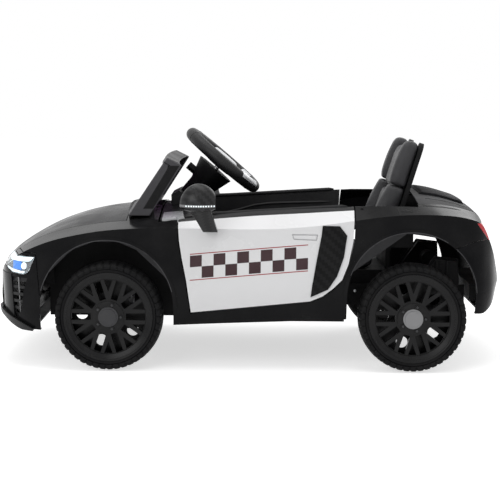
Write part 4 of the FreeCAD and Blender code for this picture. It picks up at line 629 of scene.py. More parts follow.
def pad_grid(low, high, half_wide, middle_y, front_line, back=0.0006, count=64, rows=40, power=4.4):
    """Sections from low to high. Each one reaches from the back to the front line at its height, and both
    sizes fall to nothing over the ends."""
    share = uneven(rows)
    up = low + (high - low) * share
    from_low = share * (high - low) / SEAM_ROUND
    from_high = (1 - share) * (high - low) / (TOP_ROUND if high > 0.2 else SEAM_ROUND)
    size = end_size(np.minimum(from_low, from_high))
    u, v = rounded_section(count, power)
    front = np.interp(up, *zip(*front_line))
    centre, depth = (front + back) / 2, (front - back) / 2
    forward = centre[:, None] + (depth * size)[:, None] * u[None, :]
    across = middle_y + (half_wide * size)[:, None] * v[None, :]
    return forward, across, up[:, None] + 0 * forward


LOBE_FRONT = [(0.145, 0.037), (0.165, 0.040), (0.20, 0.039), (0.232, 0.035), (0.25, 0.030)]
BOLSTER_FRONT = [(0.005, 0.045), (0.05, 0.050), (0.09, 0.048), (0.12, 0.043), (0.145, 0.038)]
PANEL_FRONT = [(0.005, 0.027), (0.07, 0.030), (0.14, 0.027), (0.237, 0.026)]
CUSHION_FRONT, CUSHION_REAR, CUSHION_HALF_WIDE = 0.0912, 0.2725, 0.1238
CUSHION_MIDDLE_Z, CUSHION_HALF_THICK, SIDE_CROWN, MIDDLE_DIP = 0.2195, 0.0195, 0.004, 0.003


def cushion_grid(count=96, rows=44):
    """Sections along the seat from front to rear: a superellipse across, higher along both sides."""
    share = uneven(rows)
    x = CUSHION_FRONT + (CUSHION_REAR - CUSHION_FRONT) * share
    size = end_size(np.minimum(share, 1 - share) * 0.18 / 0.02)
    u, v = rounded_section(count, 4.5)
    wide = CUSHION_HALF_WIDE * (0.9 + 0.1 * size) * np.minimum(1.0, size / 0.15)
    side = np.clip((np.abs(v) - 0.62) / 0.3, 0, 1)
    crown = SIDE_CROWN * side * side * (3 - 2 * side) - MIDDLE_DIP * (1 - side)
    height = (CUSHION_MIDDLE_Z + (CUSHION_HALF_THICK * size)[:, None] * u[None, :]
              + (crown[None, :] * (u[None, :] > 0)) * size[:, None])
    return x[:, None] + 0 * height, wide[:, None] * v[None, :], height


print("backrest foot at", HINGE)

# %% Stuffing by cloth
def stuffed(name, grid, cap, swell=4.0, voxel=0.005):
    """The closed form remeshed evenly, then blown up by cloth pressure for 20 frames. No point moves past
    the cap."""
    made = piece(name, [(grid, False, True, True)], "car", seat_leather)
    fine = made.modifiers.new("even", "REMESH")
    fine.mode = "VOXEL"
    fine.voxel_size = voxel
    mesh = bpy.data.meshes.new_from_object(made.evaluated_get(bpy.context.evaluated_depsgraph_get()))
    made.modifiers.clear()
    made.data = mesh
    before = np.empty(len(mesh.vertices) * 3)
    mesh.vertices.foreach_get("co", before)
    cloth = made.modifiers.new("stuffing", "CLOTH")
    cloth.settings.use_pressure = True
    cloth.settings.uniform_pressure_force = swell
    cloth.settings.effector_weights.gravity = 0.0
    cloth.settings.quality = 4
    cloth.point_cache.frame_start, cloth.point_cache.frame_end = 1, 20
    for frame in range(1, 21):
        bpy.context.scene.frame_set(frame)
    shaped = made.evaluated_get(bpy.context.evaluated_depsgraph_get())
    after = np.empty(len(mesh.vertices) * 3)
    shaped.data.vertices.foreach_get("co", after)
    made.modifiers.clear()
    bpy.context.scene.frame_set(1)
    before, after = before.reshape(-1, 3), after.reshape(-1, 3)
    move = after - before
    far = np.linalg.norm(move, axis=1, keepdims=True)
    mesh.vertices.foreach_set("co", (before + move * np.minimum(1.0, cap / np.maximum(far, 1e-9))).ravel())
    mesh.update()
    made.modifiers.new("smooth", "SUBSURF").levels = made.modifiers["smooth"].render_levels = 1
    mesh.shade_smooth()
    if not mesh.materials:
        mesh.materials.append(seat_leather)
    return made


LOBE_Y, LOBE_HALF_WIDE, PANEL_HALF_WIDE = 0.104, 0.0198, 0.0812
LOBE_SWELL, PANEL_SWELL = 0.0035, 0.004
for side_name, side in SIDES:
    lobe = pad_grid(0.1440, 0.2482, LOBE_HALF_WIDE, side * LOBE_Y, LOBE_FRONT)
    bolster = pad_grid(0.006, 0.1432, LOBE_HALF_WIDE, side * LOBE_Y, BOLSTER_FRONT)
    stuffed(f"seat_lobe_{side_name}", on_backrest(*lobe), LOBE_SWELL)
    stuffed(f"seat_bolster_{side_name}", on_backrest(*bolster), LOBE_SWELL)
for name, low, high in (("upper", 0.1322, 0.2355), ("lower", 0.006, 0.1314)):
    panel = pad_grid(low, high, PANEL_HALF_WIDE, 0.0, PANEL_FRONT, power=6.0, count=96)
    stuffed(f"seat_panel_{name}", on_backrest(*panel), PANEL_SWELL)
cushion = stuffed("seat_pad", np.stack(cushion_grid(), -1), PANEL_SWELL)
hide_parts("seat_cushion")
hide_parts("seat_backrest")

# %% [markdown]
# ## Thin pieces that follow a surface
# Lamps, stickers and seams lie on curved panels. Each one starts as a grid of points in front of the
# panel, and a Shrinkwrap modifier slides the points along one direction until they meet it. The
# answer is read back as numbers, so the rest is numpy again: a slab is that sheet lifted a little
# along its own normals, with a second sheet below it and its edges closed.

# %% Laying on a surface
LEFTWARDS, UPWARDS, FRONT_LEFT = (0.0, -1.0, 0.0), (0.0, 0.0, 1.0), (-0.6, -0.8, 0.0)
BESIDE_Y, ABOVE_Z = -0.33, 0.42


def beside(x, z, y=BESIDE_Y):
    """Points on the car's left with these x and z, at y unless they are given their own."""
    x, y, z = np.broadcast_arrays(x, y, z)
    return np.stack([x, y, z], -1)


def above(x, y, z=ABOVE_Z):
    """Points over the car with these x and y, all at the height z."""
    x, y, z = np.broadcast_arrays(x, y, z)
    return np.stack([x, y, z], -1)


def along_path(path, count):
    """Even steps along a line through (x, z) points, by number of points passed, with their x and z."""
    path = np.asarray(path, float)
    s = np.linspace(0, len(path) - 1, count)
    return s, np.interp(s, range(len(path)), path[:, 0]), np.interp(s, range(len(path)), path[:, 1])


def lay_on(grid, node, along=None):
    """The grid's points moved onto the node: along Y when along is "y", else along the grid's own normals.
    A point whose line misses the node goes to the nearest place on it, so that the sheet ends at the
    node's edge."""
    rows, columns = grid.shape[:2]
    mesh = bpy.data.meshes.new("probe")
    mesh.from_pydata(grid.reshape(-1, 3).tolist(), [], quads(rows, columns).tolist())
    probe = bpy.data.objects.new("probe", mesh)
    bpy.context.scene.collection.objects.link(probe)
    wrap = probe.modifiers.new("wrap", "SHRINKWRAP")
    wrap.target = nodes[node]
    wrap.use_project_y = along == "y"
    wrap.use_positive_direction = wrap.use_negative_direction = True
    wrap.project_limit = 0.25
    found = {}
    for method in ("PROJECT", "NEAREST_SURFACEPOINT"):
        wrap.wrap_method = method
        shaped = probe.evaluated_get(bpy.context.evaluated_depsgraph_get())
        found[method] = np.empty(rows * columns * 3)
        shaped.data.vertices.foreach_get("co", found[method])
    bpy.data.objects.remove(probe)
    bpy.data.meshes.remove(mesh)
    hit, near = (found[m].reshape(rows, columns, 3) for m in ("PROJECT", "NEAREST_SURFACEPOINT"))
    missed = np.linalg.norm(hit - grid, axis=-1, keepdims=True) < 1e-7
    return np.where(missed, near, hit)


def normals_of(grid, facing):
    """Unit normals: the cross product of the grid's two differences, turned to look towards facing."""
    across, along = np.gradient(grid, axis=0), np.gradient(grid, axis=1)
    normal = np.cross(across, along)
    normal /= np.maximum(np.linalg.norm(normal, axis=-1, keepdims=True), 1e-12)
    return normal * np.where((normal * facing).sum(-1, keepdims=True) < 0, -1.0, 1.0)


def slab(sheet, facing, top, thick):
    """A closed slab: the sheet lifted by top, and again by top less thick, joined round the edge."""
    normal = normals_of(sheet, np.asarray(facing, float))
    top = np.broadcast_to(np.asarray(top, float), sheet.shape[:2])[..., None]
    outer, inner = sheet + normal * top, sheet + normal * (top - thick)
    return np.concatenate([outer, inner[:, ::-1]], axis=1), False, True, True


def between(a, b, count):
    """Evenly spaced values from a to b."""
    return np.linspace(a, b, count)


def dome(middle, normal, side, radii, heights, count):
    """Rings about the normal, each radius at its own height above the middle; side is at right angles."""
    up = np.cross(side, normal)
    turn = np.arange(count) * (FULL_TURN / count)
    flat = radii[:, None, None] * (np.cos(turn)[None, :, None] * side + np.sin(turn)[None, :, None] * up)
    return middle + flat + heights[:, None, None] * normal, False, True, True


print("surface helpers ready")

# %% [markdown]
# ## Headlamps
# Behind each clear cover lies a shallow tray: a white light bar along the top, a grey reflector with
# a blue glow, a round lens and a pale lower lip. The lamp wraps round the corner of the nose, so its
# pieces are laid out on angles about an upright axis inside the nose and then dropped onto the
# lamp's own solid, which gives its true curve.

# %% Headlamp layout
LAMP_TOP = [(-0.534, 0.2425), (-0.504, 0.2415), (-0.455, 0.2395)]
LAMP_LOW = [(-0.534, 0.2165), (-0.526, 0.2145), (-0.506, 0.2005), (-0.482, 0.1985), (-0.469, 0.2030),
            (-0.4555, 0.2375)]
NOSE_AXIS_X, NOSE_REACH = -0.400, 0.29
LAMP_FROM, LAMP_TO, LAMP_MIDDLE_Z, LAMP_MARGIN = 51.2, 78.8, 0.232, 0.0012


def nose_line(angle, z):
    """Points at the nose's reach from the upright axis, at angles from straight ahead towards the left."""
    return beside(NOSE_AXIS_X - NOSE_REACH * np.cos(angle), z, -NOSE_REACH * np.sin(angle))


def lamp_sheet(s_low, s_high, t_low, t_high, columns=40, rows=8):
    """Part of the left lamp's face. s runs along the lamp from the nose to its rear end as an angle about
    the axis, t from its lower to its upper edge; the height lies between the two edge lines at that place."""
    angle = np.radians(LAMP_FROM + (LAMP_TO - LAMP_FROM) * between(s_low, s_high, columns))
    middle = nose_line(angle, LAMP_MIDDLE_Z)
    x = lay_on(np.stack([middle, middle + [0, 0, 0.002]]), "headlamps")[0, :, 0]
    low = np.interp(x, *zip(*LAMP_LOW)) + LAMP_MARGIN
    high = np.interp(x, *zip(*LAMP_TOP)) - LAMP_MARGIN
    z = low[None] + (high - low)[None] * between(t_low, t_high, rows)[:, None]
    return lay_on(nose_line(angle[None], z), "headlamps")


EDGE = np.minimum(1.0, 5.0 * (1 - np.abs(np.linspace(-1, 1, 40))))[None, :]
RIM = np.minimum(EDGE, np.minimum(1.0, 4.0 * (1 - np.abs(np.linspace(-1, 1, 14))))[:, None])
tray_sheet = lamp_sheet(0.0, 1.0, 0.0, 1.0, rows=14)
lamp_parts = {
    "headlamp_tray": ([slab(tray_sheet, FRONT_LEFT, -0.0042 * RIM - 0.0004, 0.0012)], hub_silver),
    "headlamp_bar": ([slab(lamp_sheet(0.10, 0.97, 0.70, 0.93), FRONT_LEFT, -0.0006, 0.0030)],
                     lamp_white_lit),
    "headlamp_lip": ([slab(lamp_sheet(0.34, 0.80, 0.06, 0.17), FRONT_LEFT, -0.0008, 0.0022)],
                     lamp_white_lit),
    "headlamp_glow": ([slab(lamp_sheet(0.52, 0.72, 0.22, 0.66), FRONT_LEFT, -0.0024, 0.0014)],
                      lamp_blue_lit),
    "headlamp_cover": ([slab(tray_sheet, FRONT_LEFT, 0.0, 0.0009)], lamp_clear),
}


def lens(sheet, radius, bulge, sunk=0.0032):
    """A dome at the sheet's middle: rings of radius r at height bulge * (1 - (r / radius) ** 2), all sunk."""
    row, column = sheet.shape[0] // 2, sheet.shape[1] // 2
    normal = normals_of(sheet, np.array(FRONT_LEFT))[row, column]
    side = np.cross(normal, UPWARDS)
    side /= np.linalg.norm(side)
    ring = np.array([0.02, 0.35, 0.6, 0.8, 0.93, 1.0, 1.0]) * radius
    height = bulge * (1 - (ring / radius) ** 2)
    height[-1] = -0.002
    return dome(sheet[row, column], normal, side, ring, height - sunk, 28)


lamp_parts["headlamp_lens"] = ([lens(lamp_sheet(0.74, 0.80, 0.36, 0.54), 0.0072, 0.0032)], lamp_white_lit)
for name, (grids, material) in lamp_parts.items():
    made = both_sides(name, grids, "car", material)
    if name == "headlamp_cover":
        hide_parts("headlamps")
print("headlamp pieces:", 2 * len(lamp_parts))

# %% [markdown]
# ## Tail lamps
# The tail lamps are deep red covers with upright ribs moulded behind them. The cover is the CAD
# solid, which is clear red; the ribs are a waved sheet laid just under its skin.

# %% Tail lamp ribs
TAIL_AXIS_X, TAIL_REACH, TAIL_RIBS = 0.400, 0.31, 14


def tail_sheet(columns=60, rows=6):
    """Angles about an upright axis in the tail, heights across the lamp, dropped onto the lamp's solid."""
    angle = np.radians(between(41.5, 70.5, columns))
    z = between(0.2815, 0.3145, rows)[:, None]
    x, y = TAIL_AXIS_X + TAIL_REACH * np.cos(angle)[None], -TAIL_REACH * np.sin(angle)[None]
    return lay_on(beside(x, z, y), "tail_lamps")


tail = tail_sheet()
waves = 0.0008 * np.cos(np.linspace(0, FULL_TURN * TAIL_RIBS, tail.shape[1]))[None, :]
both_sides("tail_ribs", [slab(tail, (0.7, -0.7, 0.0), -0.0022 + waves, 0.0012)], "car", lamp_red,
           sharp=50)
print("tail lamp ribs on both sides")

# %% [markdown]
# ## Door markings
# Patrol cars carry a two-row chequered band. Its squares are thin film on the white doors, so each is
# a slab a fifth of a millimetre proud that follows the door's curve, with a narrow red line above
# and below the band. The band climbs a little towards the tail, as the door's own lines do.

# %% Chequered band
CHECK_COLUMNS, CHECK_FINE = 10, 5
BAND_FRONT, BAND_REAR = (-0.126, 0.2215), (0.122, 0.2430)
BAND_HIGH, LINE_HALF, LINE_GAP = 0.048, 0.0009, 0.0032
BAND_POINTS = CHECK_COLUMNS * CHECK_FINE + 1
FILM_LIFT, FILM_THICK = 0.0002, 0.0006
check_dark = finish("check_dark", (0.030, 0.006, 0.010), 0.38, grain=0.03, dust=0.06, specular=0.4)
check_red = finish("check_red", (0.32, 0.015, 0.018), 0.35, grain=0.03, dust=0.06, specular=0.4)


def band_sheet(low, high, rows, columns):
    """Points between the band's two ends, from low to high across it, dropped onto the door along Y."""
    s = between(0.0, 1.0, columns)
    x, z = (start + (end - start) * s for start, end in zip(BAND_FRONT, BAND_REAR))
    return lay_on(beside(x[None], z[None] + between(low, high, rows)[:, None]), "door_left_panel", "y")


def film(sheet):
    """A thin film lying on the door."""
    return slab(sheet, LEFTWARDS, FILM_LIFT, FILM_THICK)


whole = band_sheet(-BAND_HIGH / 2, BAND_HIGH / 2, 2 * CHECK_FINE + 1, BAND_POINTS)
squares = []
for row in range(2):
    for column in range(CHECK_COLUMNS):
        if (row + column) % 2:
            low, start = row * CHECK_FINE, column * CHECK_FINE
            squares.append(film(whole[low:low + CHECK_FINE + 1, start:start + CHECK_FINE + 1]))
lines = [film(band_sheet(t - LINE_HALF, t + LINE_HALF, 3, BAND_POINTS))
         for t in (-BAND_HIGH / 2 - LINE_GAP, BAND_HIGH / 2 + LINE_GAP)]
both_sides("band_squares", squares, "door_left", check_dark)
both_sides("band_lines", lines, "door_left", check_red)
print("squares on each door:", len(squares))

# %% [markdown]
# ## Mirror light strip
# A narrow grey strip with a row of small white lamps runs along each mirror's lower edge and looks
# outwards. The strip is a slab laid round the mirror's own waist; the lamps are low domes on it.

# %% Mirror strips
MIRROR_X, MIRROR_Y, MIRROR_REACH = -0.106, -0.340, 0.06


def mirror_sheet(angle_low, angle_high, z_low, z_high, columns=48, rows=4):
    """Angles about the mirror's upright axis, measured from its outward side, dropped onto the mirror."""
    angle = np.radians(between(angle_low, angle_high, columns))
    x, y = MIRROR_X + MIRROR_REACH * np.sin(angle)[None], MIRROR_Y - MIRROR_REACH * np.cos(angle)[None]
    return lay_on(beside(x, between(z_low, z_high, rows)[:, None], y), "door_left_mirror")


strip = slab(mirror_sheet(-78, 66, 0.3535, 0.3585), LEFTWARDS, 0.0009, 0.0018)
DOT_RADII, DOT_HEIGHTS = np.array([0.05, 0.6, 1.0]) * 0.0016, np.array([0.0021, 0.0017, 0.0006])
dots = []
for turn in between(-50, 62, 12):
    place = mirror_sheet(turn - 1.5, turn + 1.5, 0.3553, 0.3567, 3, 3)
    normal = normals_of(place, np.array(LEFTWARDS))[1, 1]
    dots.append(dome(place[1, 1], normal, np.cross(normal, UPWARDS), DOT_RADII, DOT_HEIGHTS, 12))
both_sides("mirror_strip", [strip], "door_left", hub_silver)
both_sides("mirror_lamps", dots, "door_left", lamp_white_lit, sharp=None)
print("lamps in each mirror:", len(dots))

# %% [markdown]
# ## Door cards
# On the inner face of each door a smooth rail follows the top, and below it a raised arm-rest line
# climbs and then runs level, with a row of moulded stitches under it. The rail and the line are
# rods of varying height carried along a path; the stitches are short slabs.

# %% Door card lines
CARD_Y = 0.2548
STITCH_HALF_LONG, STITCH_R, STITCH_DROP = 0.0013, 0.0006, 0.0062


def rod_along(path, wide, deep, count=10):
    """A half-oval carried along the path of (x, z) points: wide up and down, deep towards the cabin."""
    s, x, z = along_path(path, 60)
    for _ in range(3):
        z[1:-1] = (z[:-2] + 2 * z[1:-1] + z[2:]) / 4
    turn = np.linspace(0, math.pi, count)
    ends = np.minimum(1.0, 0.35 + np.minimum(s, s[-1] - s) * 2)
    up = (wide / 2 * np.cos(turn))[None, :] * ends[:, None]
    out = (deep * np.sin(turn))[None, :] * ends[:, None]
    return np.stack([x[:, None] + 0 * up, -CARD_Y + out, z[:, None] + up], -1), False, True, True


TOP_RAIL = [(-0.118, 0.3300), (-0.05, 0.3330), (0.06, 0.3400), (0.17, 0.3470), (0.205, 0.3490)]
ARM_LINE = [(-0.118, 0.2860), (-0.07, 0.2870), (-0.03, 0.2960), (0.01, 0.3080), (0.05, 0.3130),
            (0.12, 0.3155), (0.20, 0.3180)]
card_grids = [rod_along(TOP_RAIL, 0.009, 0.0030), rod_along(ARM_LINE, 0.007, 0.0035)]
stitches = []
u, v = rounded_section(8, 2.0)
across = between(-1, 1, 5)[:, None]
size = STITCH_R * np.sqrt(np.maximum(1 - across ** 2, 0.05))
for x in between(0.03, 0.198, 46):
    z = float(np.interp(x, *zip(*ARM_LINE))) - STITCH_DROP
    stitch = beside(x + STITCH_HALF_LONG * across, z + size * v[None], -CARD_Y + size * u[None])
    stitches.append((stitch, False, True, True))
both_sides("card_lines", card_grids, "door_left", trim_black, sharp=None)
both_sides("card_stitches", stitches, "door_left", silver_trim, sharp=None)
print("stitches on each door:", len(stitches))

# %% [markdown]
# ## Rounded mouldings
# No moulded part has a knife edge: the tool's corners are rounded so that the plastic flows and
# small hands aren't hurt. The solids hold the true planes; here a Weld modifier joins the faces of
# each one and a Bevel modifier rounds its sharp edges by a few millimetres, wide on the windshield
# frame, narrow on mirrors, wheel and trim.

# %% Rounded edges
ROUNDED = {"windshield_frame": 0.0055, "door_left_mirror": 0.0030, "door_right_mirror": 0.0030,
           "steering_wheel": 0.0018, "column_cover": 0.0040, "dashboard": 0.0030, "door_left_card": 0.0016,
           "door_right_card": 0.0016, "front_lip": 0.0012, "seat_tub": 0.0020}
for node, width in ROUNDED.items():
    weld = nodes[node].modifiers.new("joined", "WELD")
    weld.merge_threshold = 0.00002
    bevel = nodes[node].modifiers.new("rounded", "BEVEL")
    bevel.width = width
    bevel.segments = 3
    bevel.limit_method = "ANGLE"
    bevel.angle_limit = math.radians(38)
    bevel.harden_normals = True
print("rounded solids:", len(ROUNDED))

# %% [markdown]
# ## Duller panels
# The deck behind the seat, the windshield frame and the column cover come from other tools than the
# glossy body and are left matt, so they hardly mirror the white behind them. The hood and the rear
# bumper keep the body's fine orange-peel polish and mirror less; the side blades are seen in shade,
# so their weave is the darker of the two.

# %% Matt mouldings
deck_black = finish("deck_black", (0.022, 0.022, 0.024), 0.48, grain=0.10, dust=0.10, specular=0.03)
cover_black = finish("cover_black", (0.004, 0.004, 0.0045), 0.38, grain=0.15, dust=0.03, specular=0.10)
hood_black = finish("hood_black", (0.016, 0.016, 0.018), 0.26, grain=0.02, grain_scale=220.0, dust=0.06,
                    specular=0.035)
frame_black = finish("frame_black", (0.050, 0.049, 0.054), 0.45, grain=0.30, grain_scale=1300.0, dust=0.08,
                     specular=0.15)
bumper_black = finish("bumper_black", (0.008, 0.008, 0.009), 0.24, grain=0.02, grain_scale=220.0, dust=0.04,
                      specular=0.03)
MATT = {"rear_deck": deck_black, "column_cover": cover_black, "hood": hood_black,
        "windshield_frame": frame_black, "rear_bumper": bumper_black, "door_left_blade": blade_carbon_shaded,
        "door_right_blade": blade_carbon_shaded}
for node, material in MATT.items():
    nodes[node].data.materials[0] = material
print("matt mouldings:", len(MATT))

# %% [markdown]
# ## Steering wheel
# The rim of a toy wheel is moulded in a soft black plastic with brighter inlays at its lower corners,
# and a fine ring marks the end of each grip. The inlays are patches of the rim's own round section,
# 0.4 mm proud; their angles are measured about the column.

# %% Steering wheel inlays and grip rings
CRANK_BACK, CRANK_UP, CRANK_FAR, CRANK_R = 0.19298, 0.28600, 0.34502, 0.0372   # crank pin to wheel
COLUMN_TILT = math.atan2(CRANK_BACK, CRANK_UP) + math.asin(CRANK_R / CRANK_FAR)
COLUMN_UP = np.array([math.sin(COLUMN_TILT), 0.0, math.cos(COLUMN_TILT)])
COLUMN_BACK = np.array([math.cos(COLUMN_TILT), 0.0, -math.sin(COLUMN_TILT)])
WHEEL_MIDDLE = np.array([-0.06302, 0.0, 0.432004])
RING_R, GRIP_R = 0.091, 0.014


def on_rim(around, section, grip):
    """Points of the rim: around runs about the column from its rear side, section about the rim's own
    section."""
    around, section = around[:, None], section[None, :]
    out = np.cos(around)[..., None] * COLUMN_BACK + np.sin(around)[..., None] * np.array([0.0, 1.0, 0.0])
    far, rise = RING_R + grip * np.cos(section), grip * np.sin(section)
    return WHEEL_MIDDLE + out * far[..., None] + COLUMN_UP * rise[..., None]


inlays, grip_rings = [], []
ring_section = np.linspace(0, FULL_TURN, 33)[:-1]
RING_STEPS = [(-0.5, 0.0), (-0.25, 0.0005), (0.25, 0.0005), (0.5, 0.0), (0.5, -0.001), (-0.5, -0.001)]
for _, side in SIDES:
    for low, high, lean_low, lean_high in ((24, 58, 20, 78), (28, 52, 118, 150)):
        around = np.radians(between(low, high, 24)) * side
        section = np.radians(between(lean_low, lean_high, 8))
        outer = on_rim(around, section, GRIP_R + 0.0004)
        inner = on_rim(around, section[::-1], GRIP_R - 0.0010)
        inlays.append((np.concatenate([outer, inner], axis=1), False, True, True))
    for place in (34, 150):
        turn = np.radians(place) * side
        rings = [on_rim(np.array([turn + np.radians(degrees)]), ring_section, GRIP_R + proud)[0]
                 for degrees, proud in RING_STEPS]
        grip_rings.append((np.stack(rings), True, True, False))
sharpen(piece("wheel_inlays", inlays, "steering", silver_trim), 45)
piece("wheel_grip_rings", grip_rings, "steering", trim_black)
print("inlays:", len(inlays), "grip rings:", len(grip_rings))

# %% [markdown]
# ## Windshield and dashboard details
# The windshield frame is two shells snapped together, so a seam climbs each side with a dark band of
# painted shade behind it, where the side turns from the light; a dark film of painted shade lies in the
# shallow pocket along its top, and a ribbed rubber strip seals its foot to the cowl.
# The dashboard's ends carry two narrow bright strips, and three turned knobs stand on its top, two on
# the car's left and one on its right.

# %% Windshield seams, rubber and knobs
def ribbon(path, wide, node, top, thick, count=40):
    """A narrow slab whose middle follows the path of (x, z) points, dropped onto the node along Y."""
    middle = np.stack(along_path(path, count)[1:], -1)
    run = np.gradient(middle, axis=0)
    across = np.stack([-run[:, 1], run[:, 0]], -1) / np.linalg.norm(run, axis=1, keepdims=True)
    rows = np.stack([middle + across * wide * t for t in (-0.5, 0.0, 0.5)])
    return slab(lay_on(beside(rows[..., 0], rows[..., 1]), node, "y"), LEFTWARDS, top, thick)


SEAM_PATH = [(-0.1868, 0.4365), (-0.1738, 0.4295), (-0.1885, 0.4045), (-0.2290, 0.3370)]
seams = [ribbon(SEAM_PATH, 0.0018, "windshield_frame", 0.0006, 0.0014, count=60)]
both_sides("screen_seam", seams, "car", under_black)


def patch(corners, node, top, thick, rows=8, columns=16):
    """A slab between four (x, z) corners (low front, low rear, high front, high rear), dropped along Y."""
    s, t = between(0, 1, columns)[None, :, None], between(0, 1, rows)[:, None, None]
    a, b, c, d = (np.array(p, float) for p in corners)
    flat = (1 - t) * ((1 - s) * a + s * b) + t * ((1 - s) * c + s * d)
    return slab(lay_on(beside(flat[..., 0], flat[..., 1]), node, "y"), LEFTWARDS, top, thick)


# Painted shade: a dark band along the rear of each frame side, where the side turns from the light.
REAR_BAND_SHADE = [(-0.2280, 0.3375), (-0.2090, 0.3375), (-0.1725, 0.4290), (-0.1530, 0.4290)]
both_sides("screen_band_shade", [patch(REAR_BAND_SHADE, "windshield_frame", 0.0004, 0.0012, rows=40, columns=24)],
           "car", cover_black)
# Painted shade: a dark film on the frame's top stands in for the shade in its shallow pocket.
along, over = between(-0.168, 0.168, 60)[:, None], between(0.006, 0.034, 10)[None, :]
front = -0.1980 + 0.0085 * (along / 0.185) ** 2
pocket = slab(lay_on(above(front + over, along, 0.47), "windshield_frame"), UPWARDS, 0.0004, 0.001)
sharpen(piece("screen_pocket_shade", [pocket], "car", cover_black), 40)
both_sides("dash_strips",
           [ribbon([(-0.176, 0.3385), (-0.147, 0.3350)], 0.0028, "dash_trim", 0.0005, 0.0015),
            ribbon([(-0.176, 0.3300), (-0.144, 0.3255)], 0.0028, "dash_trim", 0.0005, 0.0015)],
           "car", silver_trim)

SEAL_POINTS, SEAL_RIBS, SEAL_LIFT = 150, 48, 0.0015
HOOD_PROBE_Z, HOOD_BELOW_Z, HOOD_REAR_Z = 0.40, 0.39, 0.33
across = between(-0.198, 0.198, SEAL_POINTS)
bow = -0.2680 + 0.012 * (across / 0.216) ** 2
foot = lay_on(np.stack([above(bow + step, across, HOOD_PROBE_Z) for step in (0.0, 0.002)]), "hood")[0, :, 2]
foot = np.where(foot < HOOD_BELOW_Z, foot, HOOD_REAR_Z) + SEAL_LIFT
rib = 0.5 + 0.5 * np.cos(np.linspace(0, FULL_TURN * SEAL_RIBS, SEAL_POINTS))
turn = np.linspace(0, FULL_TURN, 13)[:-1][None]
seal_r = 0.0026 + 0.0012 * rib[:, None]
seal = beside(bow[:, None] + seal_r * np.cos(turn), foot[:, None] + seal_r * np.sin(turn), across[:, None])
piece("screen_seal", [(seal, False, True, True)], "car", trim_black)

KNOB = [(0.0001, 0.0110), (0.0055, 0.0108), (0.0068, 0.0096), (0.0072, 0.0060), (0.0078, 0.0016),
        (0.0078, -0.0010)]
KNOB_SIDES, KNOB_RIDGES, DASH_TOP_Z = 40, 20, 0.3490
spin = turned(KNOB, (0, 0, 0), KNOB_SIDES, 0.0, 1)
wave = 1 + 0.03 * np.cos(np.arange(KNOB_SIDES) * FULL_TURN / KNOB_SIDES * KNOB_RIDGES)[None, :]
knob_grids = []
for x, y in ((-0.146, -0.135), (-0.146, -0.165), (-0.146, 0.135)):
    knob = np.stack([x + spin[..., 0] * wave, y + spin[..., 2] * wave, DASH_TOP_Z + spin[..., 1]], -1)
    knob_grids.append((knob, False, True, True))
piece("dash_knobs", knob_grids, "car", hub_dark)
print("knobs on the dashboard:", len(knob_grids))

# %% [markdown]
# ## Body details
# Small marks make the body read as moulded panels: a dark screw in each quarter rail and bright ones
# on the tray and the arch panels, a dark wedge of painted shade where the rail meets the deck, a dark
# strip of painted shade along the groove on each quarter rail, black backing behind the open seams, a
# post and a slender upright bar in each side intake, a louvred cover with fine seams on the deck, and a
# thin lighter line on the lip of each arch, a painted highlight.

# %% Screws, wedge, backing and intake bars
SCREW = [(0.0001, 0.0012), (0.0011, 0.0011), (0.0016, 0.0017), (0.0026, 0.0016), (0.0032, 0.0007),
         (0.0034, -0.0010)]
TRAY_Y, ARCH_PANEL_Y = -0.27, -0.29


def screw(x, z, node, y=BESIDE_Y):
    """A round screw head standing on the node's side face at (x, z)."""
    probe = beside(np.array([[x, x + 0.001]]), np.array([[z], [z + 0.001]]), y)
    return turned(SCREW, lay_on(probe, node, "y")[0, 0], 20, 0.0, -1), False, True, True


both_sides("quarter_screw", [screw(0.236, 0.3440, "body_shell")], "car", under_black)
both_sides("tray_screws", [screw(0.248, 0.1895, "chassis_tray", TRAY_Y),
                           screw(0.2313, 0.155, "chassis_tray", TRAY_Y)], "car", silver_trim)
both_sides("arch_screw", [screw(-0.202, 0.173, "front_arch_panels", ARCH_PANEL_Y)], "car",
           silver_trim)
# Painted shade: a dark film in the corner where the quarter rail meets the deck.
both_sides("quarter_corner_shade", [patch([(0.3105, 0.3405), (0.3430, 0.3400), (0.3110, 0.3500), (0.3150, 0.3500)],
                                   "body_shell", 0.0004, 0.001)], "car", under_black)


def backing(path, node, depth):
    """A strip behind an open seam. Its rows 2 and 6 mm to the rear of the seam are dropped onto the node;
    the rows in front of the seam go on in the same line, since another piece lies there."""
    _, x, z = along_path(path, 50)
    near, far = lay_on(np.stack([beside(x + gap, z) for gap in (0.002, 0.006)]), node, "y")
    sheet = np.stack([near + (far - near) * (gap - 0.002) / 0.004
                      for gap in (-0.007, -0.0035, 0.0, 0.0035, 0.007)])
    return slab(sheet, LEFTWARDS, -depth, 0.0008)


NOSE_SEAM = [(-0.4500, 0.2430), (-0.4428, 0.1490), (-0.4428, 0.1150)]
both_sides("seam_backing", [backing(NOSE_SEAM, "body_shell", 0.0040)], "car", under_black)
INTAKE_LOW_Z, INTAKE_HIGH_Z = 0.1165, 0.1985


def nose_strip(angle_low, angle_high, columns=16, rows=20):
    """A sheet in the nose between two angles about an upright axis. Only its lower and upper edge are
    dropped onto the bumper; the rows between them are straight, so that it bridges the intake."""
    angle = np.radians(between(angle_low, angle_high, columns))
    ends = []
    for z in (INTAKE_LOW_Z, INTAKE_HIGH_Z):
        line = nose_line(angle, z)
        ends.append(lay_on(np.stack([line, line + [0, 0, 0.001]]), "front_bumper")[0])
    t = between(0, 1, rows)[:, None, None]
    return (1 - t) * ends[0] + t * ends[1]


